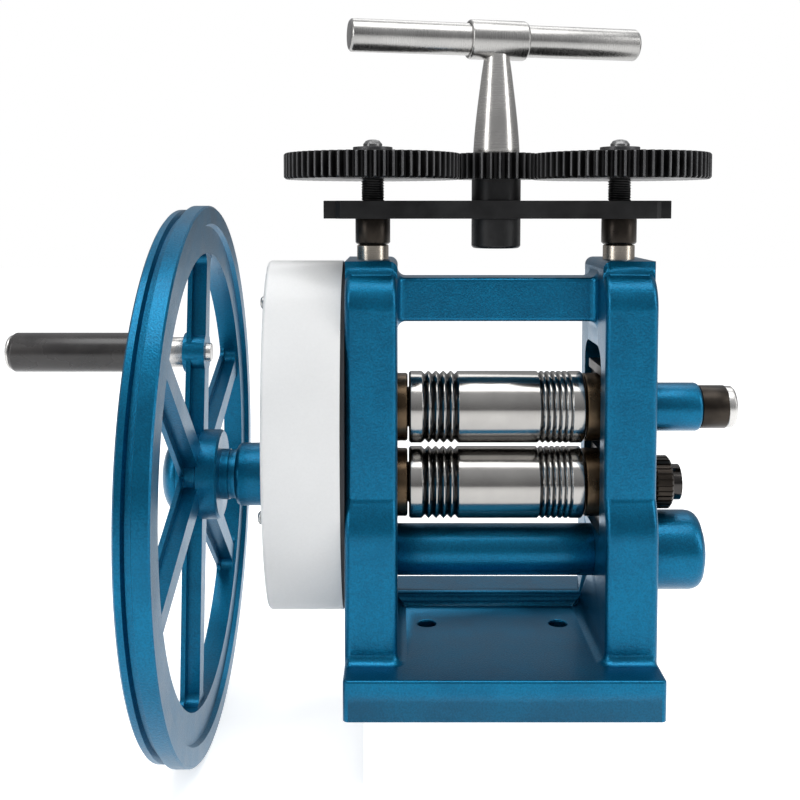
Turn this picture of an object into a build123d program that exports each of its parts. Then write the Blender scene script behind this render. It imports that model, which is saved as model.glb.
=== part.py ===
from build123d import *
import os
from math import acos, cos, pi, radians, sin, tan

# Hand-cranked jewellers rolling mill, 130 mm rolls.  Millimetres.
# X runs along the rolls (hand wheel at -X), -Y is the operator's side, Z is up.
# The origin is the middle of the underside of the base.

# ---- driving dimensions -------------------------------------------------------------------
# frame casting
FRAME_HALF = 111.0            # outer faces of the standards
INNER_HALF = 73.5             # inner faces of the standards
BASE_DEPTH = 178.0
BASE_HEIGHT = 28.8
PAD_TOP = 312.8               # machined pads that the screws come out of
PAD_STEP = 304.0
PAD_HALF = 37.4
SHOULDER_HALF = 52.0          # half depth of a standard beside the rolls
SHOULDER_Z = 278.0
FOOT_HALF = 62.0              # half depth of a standard below the waist
WAIST_Z = 145.0
FOOT_Z = 113.0
CROSSBAR_BOTTOM = 267.3
CROSSBAR_TOP = 299.8
CROSSBAR_HALF = 16.6
CROSSBAR_FILLET = 6.0
ROOT_FILLET = 7.0             # cast fillet round the foot of each standard
LEDGE_TOP = 40.7
LEDGE_FRONT = 47.0
BASE_HOLE_X = 51.0
BASE_HOLE_Y = 12.0
BASE_HOLE_D = 13.0

# windows and bearing blocks
WINDOW_HALF = 33.0
WINDOW_BOTTOM = 112.0
WINDOW_TOP = 250.0
BLOCK_HALF = 32.9
BLOCK_INNER = 78.5            # inner face of the blocks, set back from the standard
BLOCK_OUTER = 109.0
BLOCK_CHAMFER = 1.5
LOWER_BLOCK_TOP = 168.5
UPPER_BLOCK_BOTTOM = 176.5
UPPER_BLOCK_TOP = 228.0

# rolls
ROLL_LENGTH = 130.0
ROLL_D = 54.0
LOWER_Z = 143.5
UPPER_Z = 201.0               # leaves a 3.5 mm opening at rest
JOURNAL_D = 30.0
GEAR_SEAT_D = 26.0
BUSH_D = 38.0
BUSH_FLANGE_D = 51.0
LOWER_LEFT_END = -143.0
UPPER_LEFT_END = -131.5
LOWER_RIGHT_END = 139.3
LOCK_THREAD_D = 27.0          # serrated lock nut on the lower journal
LOCK_RING_X = (110.0, 119.0)
LOCK_NUT_X = (119.0, 132.0)
LOCK_NUT_D = 39.8
LOCK_NUT_GROOVES = 30
SLEEVE_D = 36.4               # painted sleeve over the upper journal
SPIGOT_X = 101.0
SLEEVE_END = 153.6
JOURNAL_TIP_D = 24.0
JOURNAL_RING_D = 32.4
JOURNAL_RING_END = 172.6
JOURNAL_NUT_D = 31.4
JOURNAL_NUT_END = 179.4
RUNNING = 0.05                # radial clearance where a shaft turns in its bore
SEAT = 0.02                   # radial clearance of parts that are fixed together

# coarse grooves on the left of the rolls and fine ones on the right: centre, width, depth
GROOVE_RUNS = (
    (-53.0, 5.6, 5, 4.8, 2.4),
    (33.0, 4.35, 6, 3.5, 1.7),
)

# gears, all spur, 20 degree pressure angle but for the long-toothed roll gears
SCREW_X = 92.0
SCREW_GEAR_TEETH = 64
CENTRE_TEETH = 28
MODULE = 2.0
ROLL_GEAR_TEETH = 12
ROLL_GEAR_MODULE = 4.5
BULL_TEETH = 36
LAY_PINION_TEETH = 16
LAY_GEAR_TEETH = 34
WHEEL_PINION_TEETH = 24
LAY_Z = LOWER_Z - MODULE * (BULL_TEETH + LAY_PINION_TEETH) / 2
WHEEL_Z = LAY_Z + MODULE * (LAY_GEAR_TEETH + WHEEL_PINION_TEETH) / 2
ROLL_GEAR_X = (-129.5, -116.5)
BULL_X = (-141.5, -131.5)
WHEEL_PINION_X = (-155.0, -144.5)

# layshaft through the stay tube between the standards
LAY_SHAFT_D = 18.0
LAY_BUSH_D = 26.0
LAY_LEFT_END = -157.0
LAY_RIGHT_END = 134.0
TUBE_D = 38.6
TUBE_BORE = 27.0
CAP_D = 59.0
CAP_END = 158.0

# gear case: screws are (y, z)
CASE_Z = 179.0
CASE_HALF_Y = 62.0
CASE_HALF_Z = 132.5
CASE_WALL = 3.5
CASE_BACK_X = -111.0
CASE_PLATE = 3.0
CASE_FACE_X = -170.0
CASE_INSIDE_X = CASE_FACE_X + CASE_WALL
CASE_SCREWS = ((-36.0, 90.0), (36.0, 90.0), (-36.0, 268.0), (36.0, 268.0))
COVER_SCREWS = ((-24.0, 282.0), (24.0, 282.0), (-47.5, 130.0), (47.5, 130.0))
COVER_SCREW_D = 5.0
HOUSING_D = 47.0              # bearing housing of the wheel shaft
HOUSING_LEFT = -194.4
HOUSING_NECK_D = 42.0         # its part inside the cover, which the ring nut clamps
HOUSING_INNER_END = CASE_INSIDE_X + 7.0
WHEEL_BUSH_D = 27.0
WHEEL_SHAFT_D = 20.0

# adjusting head
PLATE_BOTTOM = 343.0
PLATE_TOP = 356.2
PLATE_HALF = 22.5
GEAR_BOTTOM = 372.0
GEAR_TOP = 391.0
NUT_D = 34.0                  # bronze nuts of the screws, pressed up into the standards
NUT_BOTTOM = 262.0
NUT_TOP = 300.0
BUTTON_D = 20.0               # foot of a screw, held down on its bearing block
NECK_D = 14.0
KEEPER_TOP = UPPER_BLOCK_TOP + 7.0
SHANK_D = 23.5
THREAD_D = 16.4
GEAR_SEAT = 14.0
COLLAR_D = 26.0
COLLAR_BOTTOM = 324.0
WASHER_D = 29.5
WASHER_TOP = GEAR_TOP + 5.0
BOLT_D = 8.3
HUB_D = 36.5
HUB_END = 321.0
SHAFT_WAIST_D = 30.0          # centre shaft where it turns in the plate
SHAFT_TOP_D = 24.0
BAR_Z = 474.5
BAR_D = 23.5
BAR_LENGTH = 222.0
BAR_TURN = 13.0               # the T handle rests turned by this much about the vertical
SLEEVE_HALF = 22.0            # half length and radius of the sleeve that holds the bar
SLEEVE_R = 14.4

# hand wheel
WHEEL_R = 203.0
WHEEL_FACE_X = -213.5
WHEEL_BACK_X = -236.5
SPOKES = 6
RIM_INNER = 167.5
WHEEL_TURN = 9.0              # the top spoke leans away from the operator at rest
HUB_POCKET_D = 36.0
CRANK_R = 92.0                # crank pin, screwed into a spoke
CRANK_THREAD_D = 14.0
CRANK_PIN_D = 14.0
CRANK_SHOULDER_D = 23.2
GRIP_D = 30.0
GRIP_LEFT = -369.0
GRIP_RIGHT = -264.0


# ---- helpers -----------------------------------------------------------------------------
def cylinder_x(x0, x1, diameter, z, y=0.0):
    """Solid bar along X from x0 to x1."""
    disc = Plane.YZ.offset(min(x0, x1)) * Pos(y, z) * Circle(diameter / 2)
    return extrude(disc, abs(x1 - x0))


def tube_x(x0, x1, outer, inner, z, y=0.0):
    """Ring or sleeve along X."""
    return cylinder_x(x0, x1, outer, z, y) - cylinder_x(x0, x1, inner, z, y)


def cylinder_z(z0, z1, diameter, x=0.0, y=0.0):
    """Solid bar along Z from z0 to z1."""
    return Pos(x, y, z0) * extrude(Circle(diameter / 2), z1 - z0)


def tube_z(z0, z1, outer, inner, x=0.0, y=0.0):
    """Ring or sleeve along Z."""
    return cylinder_z(z0, z1, outer, x, y) - cylinder_z(z0, z1, inner, x, y)


def block(x0, x1, y0, y1, z0, z1):
    """Rectangular block between two corners."""
    size = Box(x1 - x0, y1 - y0, z1 - z0)
    return Pos((x0 + x1) / 2, (y0 + y1) / 2, (z0 + z1) / 2) * size


def turned_x(profile, z, y=0.0):
    """Revolve a list of (x, radius) points about an axis along X at height z."""
    outline = Polyline(*[(x, 0.0, r) for x, r in profile], close=True)
    return Pos(0, y, z) * revolve(make_face(outline), Axis.X)


def turned_z(profile, x=0.0, y=0.0):
    """Revolve a list of (radius, z) points about a vertical axis."""
    outline = Polyline(*[(r, 0.0, z) for r, z in profile], close=True)
    return Pos(x, y, 0) * revolve(make_face(outline), Axis.Z)


def mirrored(solid):
    """The same piece on the other side of the mill."""
    return mirror(solid, Plane.YZ)


def gear_face(teeth, module, thinning=0.15, addendum=1.0, dedendum=1.25, pressure=20.0, steps=3):
    """Spur gear outline about the origin; its first tooth is centred on +X."""
    pitch_r = module * teeth / 2
    base_r = pitch_r * cos(radians(pressure))
    tip_r = pitch_r + addendum * module
    root_r = pitch_r - dedendum * module
    half_pitch_tooth = (pi * module / 2 - thinning) / 2 / pitch_r
    involute = lambda angle: tan(angle) - angle

    def half_angle(radius):
        angle = acos(min(1.0, base_r / radius))
        return half_pitch_tooth + involute(radians(pressure)) - involute(angle)

    start_r = max(base_r, root_r)
    radii = [start_r + (tip_r - start_r) * i / (steps - 1) for i in range(steps)]
    if base_r > root_r:
        radii.insert(0, root_r)
    points = []
    for tooth in range(teeth):
        centre = 2 * pi * tooth / teeth
        rising = [(r, centre - half_angle(r)) for r in radii]
        falling = [(r, centre + half_angle(r)) for r in reversed(radii)]
        points += [(r * cos(a), r * sin(a)) for r, a in rising + falling]
    return make_face(Polyline(*points, close=True))


def gear_x(face, x0, x1, bore, z, turn):
    """Gear on a shaft along X, turned about it so that the given tooth angle is met."""
    body = extrude(Plane.YZ.offset(x0) * Rot(0, 0, turn) * face, x1 - x0)
    return Pos(0, 0, z) * body - cylinder_x(x0, x1, bore, z)


# ---- frame casting -----------------------------------------------------------------------
def standard_profile():
    """Side outline of one standard: pad, rounded shoulder, waist, foot."""
    half = [
        Line((0, PAD_TOP), (PAD_HALF, PAD_TOP)),
        Line((PAD_HALF, PAD_TOP), (PAD_HALF, PAD_STEP)),
    ]
    shoulder = ThreePointArc(
        (PAD_HALF, PAD_STEP),
        (PAD_HALF + 9.5, PAD_STEP - 9.0),
        (SHOULDER_HALF, SHOULDER_Z),
    )
    side = Line((SHOULDER_HALF, SHOULDER_Z), (SHOULDER_HALF, WAIST_Z))
    foot = ThreePointArc(
        (SHOULDER_HALF, WAIST_Z),
        (SHOULDER_HALF + 6.6, WAIST_Z - 12.5),
        (FOOT_HALF, FOOT_Z),
    )
    down = Line((FOOT_HALF, FOOT_Z), (FOOT_HALF, BASE_HEIGHT - 2))
    bottom = Line((FOOT_HALF, BASE_HEIGHT - 2), (0, BASE_HEIGHT - 2))
    close = Line((0, BASE_HEIGHT - 2), (0, PAD_TOP))
    right = make_face(Curve() + half + [shoulder, side, foot, down, bottom, close])
    return right + mirror(right, Plane.YZ)


def standard(side):
    """One standard, with softened edges and its open window for the bearing blocks."""
    inner = INNER_HALF if side > 0 else -FRAME_HALF
    width = FRAME_HALF - INNER_HALF
    body = extrude(Plane.YZ.offset(inner) * standard_profile(), width)
    edges = [e for e in body.edges() if abs(e.center().Y) > PAD_HALF - 1]
    edges = [e for e in edges if BASE_HEIGHT < e.center().Z < PAD_STEP + 1]
    softened = [e for e in edges if abs(abs(e.center().X) - (INNER_HALF + width / 2)) > 1]
    body = fillet(softened, 5.0)
    opening = Rectangle(2 * WINDOW_HALF, WINDOW_TOP - WINDOW_BOTTOM)
    opening = Pos(0, (WINDOW_TOP + WINDOW_BOTTOM) / 2) * opening
    top_corners = opening.vertices().sort_by(Axis.Y)[-2:]
    opening = fillet(top_corners, 16.0)
    window = extrude(Plane.YZ.offset(inner - 1) * opening, width + 2)
    return body - window


def frame_casting():
    """Base, two standards, crossbar and back ledge in one casting, then its machined bores."""
    base = block(-FRAME_HALF, FRAME_HALF, -BASE_DEPTH / 2, BASE_DEPTH / 2, 0, BASE_HEIGHT)
    base = fillet(base.edges().filter_by(Axis.Z), 4.0)
    base = fillet(base.faces().sort_by(Axis.Z)[-1].edges(), 2.0)
    ledge = block(
        -INNER_HALF - 5,
        INNER_HALF + 5,
        LEDGE_FRONT,
        BASE_DEPTH / 2 - 2.5,
        BASE_HEIGHT - 5,
        LEDGE_TOP,
    )
    ledge = fillet(ledge.edges().filter_by(Axis.X).group_by(Axis.Z)[-1], 3.5)
    crossbar = block(
        -INNER_HALF - 8,
        INNER_HALF + 8,
        -CROSSBAR_HALF,
        CROSSBAR_HALF,
        CROSSBAR_BOTTOM,
        CROSSBAR_TOP,
    )
    crossbar = fillet(crossbar.edges().filter_by(Axis.X), 3.0)
    casting = base + standard(-1) + standard(1)

    # cast fillets where the standards grow out of the base, then where the crossbar meets them
    roots = [
        e for e in casting.edges()
        if abs(e.center().Z - BASE_HEIGHT) < 0.1
        and abs(e.center().Y) < FOOT_HALF + 0.5
        and abs(e.center().X) < FRAME_HALF - 0.5
    ]
    casting = fillet(roots, ROOT_FILLET)
    casting = casting + ledge + crossbar
    roots = [
        e for e in casting.edges()
        if abs(abs(e.center().X) - INNER_HALF) < 0.1
        and abs(e.center().Y) < CROSSBAR_HALF + 0.5
        and e.center().Z > CROSSBAR_BOTTOM - 0.5
    ]
    casting = fillet(roots, CROSSBAR_FILLET)

    for side in (-1, 1):
        x = side * SCREW_X
        casting -= cylinder_z(WINDOW_TOP - 20, NUT_TOP, NUT_D + 2 * SEAT, x)
        casting -= cylinder_z(NUT_TOP, PAD_TOP + 1, SHANK_D + 0.8, x)
        bore = cylinder_x(INNER_HALF - 1, FRAME_HALF + 1, LAY_BUSH_D + 2 * SEAT, LAY_Z)
        casting -= bore if side > 0 else mirrored(bore)
        hole_x = side * BASE_HOLE_X
        casting -= cylinder_z(-1, BASE_HEIGHT + 1, BASE_HOLE_D, hole_x, BASE_HOLE_Y)
        sink = Cone(BASE_HOLE_D / 2, BASE_HOLE_D / 2 + 1.7, 1.7)
        casting -= Pos(hole_x, BASE_HOLE_Y, BASE_HEIGHT - 0.85) * sink
    return casting


# ---- bearing blocks and bushes -----------------------------------------------------------
def bearing_block(z_axis, z_bottom, z_top):
    """Right-hand bearing block, bored for its flanged bush."""
    body = block(BLOCK_INNER, BLOCK_OUTER, -BLOCK_HALF, BLOCK_HALF, z_bottom, z_top)
    body = chamfer(body.edges().filter_by(Axis.X), BLOCK_CHAMFER)
    return body - cylinder_x(BLOCK_INNER - 1, BLOCK_OUTER + 1, BUSH_D, z_axis)


def flanged_bush(z_axis, outer_end=BLOCK_OUTER):
    """Right-hand bronze bush whose flange faces the end of the roll."""
    flange_x = ROLL_LENGTH / 2 + 1.0
    outer_r = BUSH_D / 2 - SEAT
    inner_r = JOURNAL_D / 2 + RUNNING
    profile = [
        (flange_x, inner_r),
        (flange_x, BUSH_FLANGE_D / 2 - 1),
        (flange_x + 1, BUSH_FLANGE_D / 2),
        (BLOCK_INNER, BUSH_FLANGE_D / 2),
        (BLOCK_INNER, outer_r),
        (outer_end, outer_r),
        (outer_end, inner_r),
    ]
    return turned_x(profile, z_axis)


# ---- rolls -------------------------------------------------------------------------------
def roll_surface():
    """Working face of a roll from left to right, with its V grooves."""
    radius = ROLL_D / 2
    half = ROLL_LENGTH / 2
    points = [(-half, radius - 1.5), (-half + 1.5, radius)]
    for first, pitch, count, width, depth in GROOVE_RUNS:
        for i in range(count):
            # the fine grooves get smaller towards the end of the roll
            size = 1.0 - 0.07 * i if first > 0 else 1.0
            centre = first + pitch * i
            points.append((centre - width * size / 2, radius))
            points.append((centre, radius - depth * size))
            points.append((centre + width * size / 2, radius))
    points += [(half - 1.5, radius), (half, radius - 1.5)]
    return points


def lower_roll():
    """Forged roll with its gear seats on the left and the lock-nut thread on the right."""
    half = ROLL_LENGTH / 2
    left = [
        (LOWER_LEFT_END, 0),
        (LOWER_LEFT_END, GEAR_SEAT_D / 2 - 1),
        (LOWER_LEFT_END + 1, GEAR_SEAT_D / 2),
        (CASE_BACK_X, GEAR_SEAT_D / 2),
        (CASE_BACK_X, JOURNAL_D / 2),
        (-half, JOURNAL_D / 2),
    ]
    right = [
        (half, JOURNAL_D / 2),
        (BLOCK_OUTER + 1, JOURNAL_D / 2),
        (BLOCK_OUTER + 1, LOCK_THREAD_D / 2),
        (LOWER_RIGHT_END - 1.5, LOCK_THREAD_D / 2),
        (LOWER_RIGHT_END, LOCK_THREAD_D / 2 - 1.5),
        (LOWER_RIGHT_END, 0),
    ]
    return turned_x(left + roll_surface() + right, LOWER_Z)


def upper_roll():
    """Forged roll with a gear seat on the left and a long journal on the right."""
    half = ROLL_LENGTH / 2
    left = [
        (UPPER_LEFT_END, 0),
        (UPPER_LEFT_END, GEAR_SEAT_D / 2 - 1),
        (UPPER_LEFT_END + 1, GEAR_SEAT_D / 2),
        (CASE_BACK_X, GEAR_SEAT_D / 2),
        (CASE_BACK_X, JOURNAL_D / 2),
        (-half, JOURNAL_D / 2),
    ]
    right = [
        (half, JOURNAL_D / 2),
        (SLEEVE_END, JOURNAL_D / 2),
        (SLEEVE_END, JOURNAL_TIP_D / 2),
        (JOURNAL_NUT_END - 2, JOURNAL_TIP_D / 2),
        (JOURNAL_NUT_END - 2, 0),
    ]
    return turned_x(left + roll_surface() + right, UPPER_Z)


def journal_sleeve():
    """Painted sleeve over the upper journal, spigoted into the outer face of its block."""
    bore = JOURNAL_D / 2 + RUNNING
    profile = [
        (SPIGOT_X, bore),
        (SPIGOT_X, BUSH_D / 2 - SEAT),
        (BLOCK_OUTER, BUSH_D / 2 - SEAT),
        (BLOCK_OUTER, SLEEVE_D / 2),
        (SLEEVE_END - 3.2, SLEEVE_D / 2),
        (SLEEVE_END - 1.2, SLEEVE_D / 2 - 0.7),
        (SLEEVE_END - 0.2, SLEEVE_D / 2 - 2.2),
        (SLEEVE_END - 0.2, bore),
    ]
    return turned_x(profile, UPPER_Z)


def journal_ring():
    """Plain distance ring behind the end nut of the upper journal."""
    return tube_x(SLEEVE_END, JOURNAL_RING_END, JOURNAL_RING_D, JOURNAL_TIP_D + 2 * SEAT, UPPER_Z)


def journal_nut():
    """Round end nut of the upper journal."""
    inner = JOURNAL_TIP_D / 2 + SEAT
    outer = JOURNAL_NUT_D / 2
    profile = [
        (JOURNAL_RING_END, inner),
        (JOURNAL_RING_END, outer - 0.7),
        (JOURNAL_RING_END + 0.8, outer),
        (JOURNAL_NUT_END - 1.6, outer),
        (JOURNAL_NUT_END, outer - 1.5),
        (JOURNAL_NUT_END, 0),
        (JOURNAL_NUT_END - 2, 0),
        (JOURNAL_NUT_END - 2, inner),
    ]
    return turned_x(profile, UPPER_Z)


def lock_nut():
    """Serrated lock nut on the lower journal, with grooves all round for the fingers."""
    x0, x1 = LOCK_NUT_X
    outer_r = LOCK_NUT_D / 2
    profile = [
        (x0, LOCK_THREAD_D / 2 + SEAT),
        (x0, outer_r - 0.6),
        (x0 + 0.8, outer_r),
        (x1 - 1.8, outer_r),
        (x1, outer_r - 2.2),
        (x1, LOCK_THREAD_D / 2 + SEAT),
    ]
    nut = turned_x(profile, LOWER_Z)
    groove = block(x0 + 0.01, x1 + 1, -0.75, 0.75, outer_r - 1.1, outer_r + 1)
    step = 360 / LOCK_NUT_GROOVES
    grooves = [Pos(0, 0, LOWER_Z) * Rot(step * i, 0, 0) * groove for i in range(LOCK_NUT_GROOVES)]
    return nut - grooves


# ---- gear case ---------------------------------------------------------------------------
def case_outline(inset):
    """Oval outline of the gear case, seen along X."""
    return Pos(0, CASE_Z) * Ellipse(CASE_HALF_Y - inset, CASE_HALF_Z - inset)


def case_back_plate():
    """Flat plate between the left standard and the cover, cut out for the shafts."""
    plate = extrude(Plane.YZ.offset(CASE_BACK_X - CASE_PLATE) * case_outline(0.8), CASE_PLATE)
    cut_outs = [
        cylinder_x(CASE_BACK_X - 5, CASE_BACK_X + 1, 44, LOWER_Z),
        cylinder_x(CASE_BACK_X - 5, CASE_BACK_X + 1, 44, UPPER_Z),
        block(CASE_BACK_X - 5, CASE_BACK_X + 1, -22, 22, LOWER_Z, UPPER_Z),
        cylinder_x(CASE_BACK_X - 5, CASE_BACK_X + 1, 34, LAY_Z),
    ]
    screws = [cylinder_x(CASE_BACK_X - 5, CASE_BACK_X + 1, 5.4, z, y) for y, z in CASE_SCREWS]
    return plate - cut_outs - screws


def case_screws():
    """Countersunk screws that hold the back plate to the standard."""
    screws = []
    for y, z in CASE_SCREWS:
        profile = [
            (CASE_BACK_X - CASE_PLATE - 3.2, 0),
            (CASE_BACK_X - CASE_PLATE - 3.2, 4.0),
            (CASE_BACK_X - CASE_PLATE, 4.5),
            (CASE_BACK_X - CASE_PLATE, 2.6),
            (CASE_BACK_X, 2.6),
            (CASE_BACK_X, 0),
        ]
        screws.append(turned_x(profile, z, y))
    return Compound(children=screws)


def gear_cover():
    """One-piece oval cover, open towards the frame, with bosses for its four screws."""
    depth = CASE_BACK_X - CASE_PLATE - CASE_FACE_X
    shell = extrude(Plane.YZ.offset(CASE_FACE_X) * case_outline(0), depth)
    shell = fillet(shell.faces().sort_by(Axis.X)[0].edges(), 3.0)
    hollow = extrude(Plane.YZ.offset(CASE_FACE_X + CASE_WALL) * case_outline(CASE_WALL), depth)
    cover = shell - hollow
    for y, z in COVER_SCREWS:
        pillar = cylinder_x(CASE_INSIDE_X - 0.5, CASE_BACK_X - CASE_PLATE, 11, z, y)
        cover += pillar
        cover -= cylinder_x(CASE_FACE_X - 1, CASE_BACK_X, COVER_SCREW_D + 0.2, z, y)
    cover -= cylinder_x(CASE_FACE_X - 1, CASE_INSIDE_X + 1, HOUSING_NECK_D, WHEEL_Z)
    return cover


def cover_screws():
    """Pan-head screws through the face of the cover into its pillars."""
    screws = []
    for y, z in COVER_SCREWS:
        profile = [
            (CASE_FACE_X - 3.0, 0),
            (CASE_FACE_X - 3.0, 3.2),
            (CASE_FACE_X - 1.8, 4.6),
            (CASE_FACE_X, 4.9),
            (CASE_FACE_X, COVER_SCREW_D / 2),
            (CASE_BACK_X - CASE_PLATE, COVER_SCREW_D / 2),
            (CASE_BACK_X - CASE_PLATE, 0),
        ]
        screws.append(turned_x(profile, z, y))
    return Compound(children=screws)


def wheel_housing():
    """Painted bearing housing of the wheel shaft, clamped through the face of the cover."""
    bore = WHEEL_BUSH_D / 2 + SEAT
    profile = [
        (HOUSING_LEFT, bore),
        (HOUSING_LEFT, HOUSING_D / 2 - 3.0),
        (HOUSING_LEFT + 3.0, HOUSING_D / 2),
        (CASE_FACE_X - 1.2, HOUSING_D / 2),
        (CASE_FACE_X - 1.2, HOUSING_D / 2 - 0.6),
        (CASE_FACE_X, HOUSING_D / 2 - 0.6),
        (CASE_FACE_X, HOUSING_NECK_D / 2 - SEAT),
        (HOUSING_INNER_END, HOUSING_NECK_D / 2 - SEAT),
        (HOUSING_INNER_END, bore),
    ]
    return turned_x(profile, WHEEL_Z)


def housing_ring_nut():
    """Ring nut that clamps the bearing housing from inside the cover."""
    return tube_x(CASE_INSIDE_X, CASE_INSIDE_X + 5, 54, HOUSING_NECK_D, WHEEL_Z)


# ---- layshaft ----------------------------------------------------------------------------
def layshaft_cap():
    """Painted cup over the right end of the layshaft, with a shallow dome on its face."""
    radius = CAP_D / 2
    x0 = FRAME_HALF
    profile = [
        (x0, radius - 5.0),
        (x0, radius),
        (CAP_END - 12.0, radius),
        (CAP_END - 6.4, radius - 1.7),
        (CAP_END - 3.4, radius - 5.6),
        (CAP_END - 3.0, radius - 9.0),
        (CAP_END - 1.2, radius - 15.0),
        (CAP_END, 0),
        (CAP_END - 6.0, 0),
        (CAP_END - 8.0, radius - 10.0),
        (CAP_END - 12.0, radius - 5.0),
    ]
    return turned_x(profile, LAY_Z)


def layshaft():
    """Shaft through the stay tube, carrying the reduction gears on its left end."""
    radius = LAY_SHAFT_D / 2
    profile = [
        (LAY_LEFT_END, 0),
        (LAY_LEFT_END, radius - 1),
        (LAY_LEFT_END + 1, radius),
        (LAY_RIGHT_END - 1, radius),
        (LAY_RIGHT_END, radius - 1),
        (LAY_RIGHT_END, 0),
    ]
    return turned_x(profile, LAY_Z)


def layshaft_bush():
    """Flanged bush in the right standard; the left one is its mirror image."""
    bore = LAY_SHAFT_D / 2 + RUNNING
    profile = [
        (INNER_HALF + 1, bore),
        (INNER_HALF + 1, LAY_BUSH_D / 2),
        (FRAME_HALF, LAY_BUSH_D / 2),
        (FRAME_HALF, LAY_BUSH_D / 2 + 3),
        (FRAME_HALF + 4, LAY_BUSH_D / 2 + 3),
        (FRAME_HALF + 4, bore),
    ]
    return turned_x(profile, LAY_Z)


# ---- adjusting head ----------------------------------------------------------------------
def screw_nut(x):
    """Bronze nut pressed up into the standard from the window."""
    profile = [
        (SHANK_D / 2 + RUNNING, NUT_BOTTOM),
        (NUT_D / 2 - 1, NUT_BOTTOM),
        (NUT_D / 2, NUT_BOTTOM + 1),
        (NUT_D / 2, NUT_TOP),
        (SHANK_D / 2 + RUNNING, NUT_TOP),
    ]
    return turned_z(profile, x)


def screw_spindle(x):
    """Pressing screw: button end in the bearing block, shank in the nut, thinner top."""
    profile = [
        (0, UPPER_BLOCK_TOP + 0.05),
        (BUTTON_D / 2, UPPER_BLOCK_TOP + 0.05),
        (BUTTON_D / 2, UPPER_BLOCK_TOP + 3.5),
        (NECK_D / 2, UPPER_BLOCK_TOP + 3.5),
        (NECK_D / 2, KEEPER_TOP + 2),
        (SHANK_D / 2 - 1.5, KEEPER_TOP + 2),
        (SHANK_D / 2, KEEPER_TOP + 3.5),
        (SHANK_D / 2, COLLAR_BOTTOM),
        (THREAD_D / 2, COLLAR_BOTTOM),
        (THREAD_D / 2, GEAR_BOTTOM),
        (GEAR_SEAT / 2, GEAR_BOTTOM),
        (GEAR_SEAT / 2, GEAR_TOP),
        (0, GEAR_TOP),
    ]
    return turned_z(profile, x)


def screw_collar(x):
    """Black collar on the screw that carries the bridge plate."""
    bore = THREAD_D / 2 + SEAT
    profile = [
        (bore, COLLAR_BOTTOM),
        (COLLAR_D / 2 - 1.2, COLLAR_BOTTOM),
        (COLLAR_D / 2, COLLAR_BOTTOM + 1.2),
        (COLLAR_D / 2, PLATE_BOTTOM - 0.1),
        (bore, PLATE_BOTTOM - 0.1),
    ]
    return turned_z(profile, x)


def screw_keeper(x):
    """Slotted plate on the bearing block that holds the button end of the screw."""
    plate = block(x - 17, x + 17, -24, 24, UPPER_BLOCK_TOP, KEEPER_TOP)
    plate -= cylinder_z(UPPER_BLOCK_TOP, UPPER_BLOCK_TOP + 4, BUTTON_D + 0.8, x)
    plate -= block(x - 10.4, x + 10.4, 0, 25, UPPER_BLOCK_TOP, UPPER_BLOCK_TOP + 4)
    plate -= cylinder_z(UPPER_BLOCK_TOP, KEEPER_TOP, NECK_D + 0.8, x)
    plate -= block(x - 7.4, x + 7.4, 0, 25, UPPER_BLOCK_TOP, KEEPER_TOP)
    return plate


def bridge_plate():
    """Bar that ties the two screws and the centre shaft, with a narrow tongue at each end."""
    outline = [
        (-115, -PLATE_HALF),
        (115, -PLATE_HALF),
        (119, -PLATE_HALF + 4),
        (119, -12),
        (128, -12),
        (128, 12),
        (119, 12),
        (119, PLATE_HALF - 4),
        (115, PLATE_HALF),
        (-115, PLATE_HALF),
        (-119, PLATE_HALF - 4),
        (-119, 12),
        (-128, 12),
        (-128, -12),
        (-119, -12),
        (-119, -PLATE_HALF + 4),
    ]
    face = make_face(Polyline(*outline, close=True))
    bar = Pos(0, 0, PLATE_BOTTOM) * extrude(face, PLATE_TOP - PLATE_BOTTOM)
    for x in (-SCREW_X, SCREW_X):
        bar -= cylinder_z(PLATE_BOTTOM - 1, PLATE_TOP + 1, THREAD_D + 2 * RUNNING, x)
    bar -= cylinder_z(PLATE_BOTTOM - 1, PLATE_TOP + 1, SHAFT_WAIST_D + 2 * RUNNING)
    return bar


def screw_gear(x, turn):
    """Large gear on a screw, its tooth ends rounded off."""
    face = Rot(0, 0, turn) * gear_face(SCREW_GEAR_TEETH, MODULE)
    body = Pos(x, 0, GEAR_BOTTOM) * extrude(face, GEAR_TOP - GEAR_BOTTOM)
    tip_r = MODULE * (SCREW_GEAR_TEETH / 2 + 1)
    profile = [
        (GEAR_SEAT / 2 + SEAT, GEAR_BOTTOM),
        (tip_r - 1.6, GEAR_BOTTOM),
        (tip_r, GEAR_BOTTOM + 1.6),
        (tip_r, GEAR_TOP - 1.2),
        (tip_r - 1.2, GEAR_TOP),
        (GEAR_SEAT / 2 + SEAT, GEAR_TOP),
    ]
    return body & turned_z(profile, x)


def centre_gear():
    """Pinion of the T handle with its long black hub above the plate."""
    body = Pos(0, 0, GEAR_BOTTOM) * extrude(gear_face(CENTRE_TEETH, MODULE), GEAR_TOP - GEAR_BOTTOM)
    hub = cylinder_z(PLATE_TOP + 0.1, GEAR_BOTTOM, HUB_D)
    return body + hub - cylinder_z(PLATE_TOP, GEAR_TOP + 1, SHAFT_TOP_D + 2 * SEAT)


def centre_hub():
    """Black cylinder below the plate that keeps the centre shaft in place."""
    profile = [
        (SHAFT_TOP_D / 2 + SEAT, PLATE_TOP),
        (SHAFT_WAIST_D / 2, PLATE_TOP),
        (SHAFT_WAIST_D / 2, PLATE_BOTTOM - 0.1),
        (HUB_D / 2, PLATE_BOTTOM - 0.1),
        (HUB_D / 2, HUB_END + 1.5),
        (HUB_D / 2 - 1.5, HUB_END),
        (SHAFT_TOP_D / 2 + SEAT, HUB_END),
    ]
    return turned_z(profile)


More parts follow.
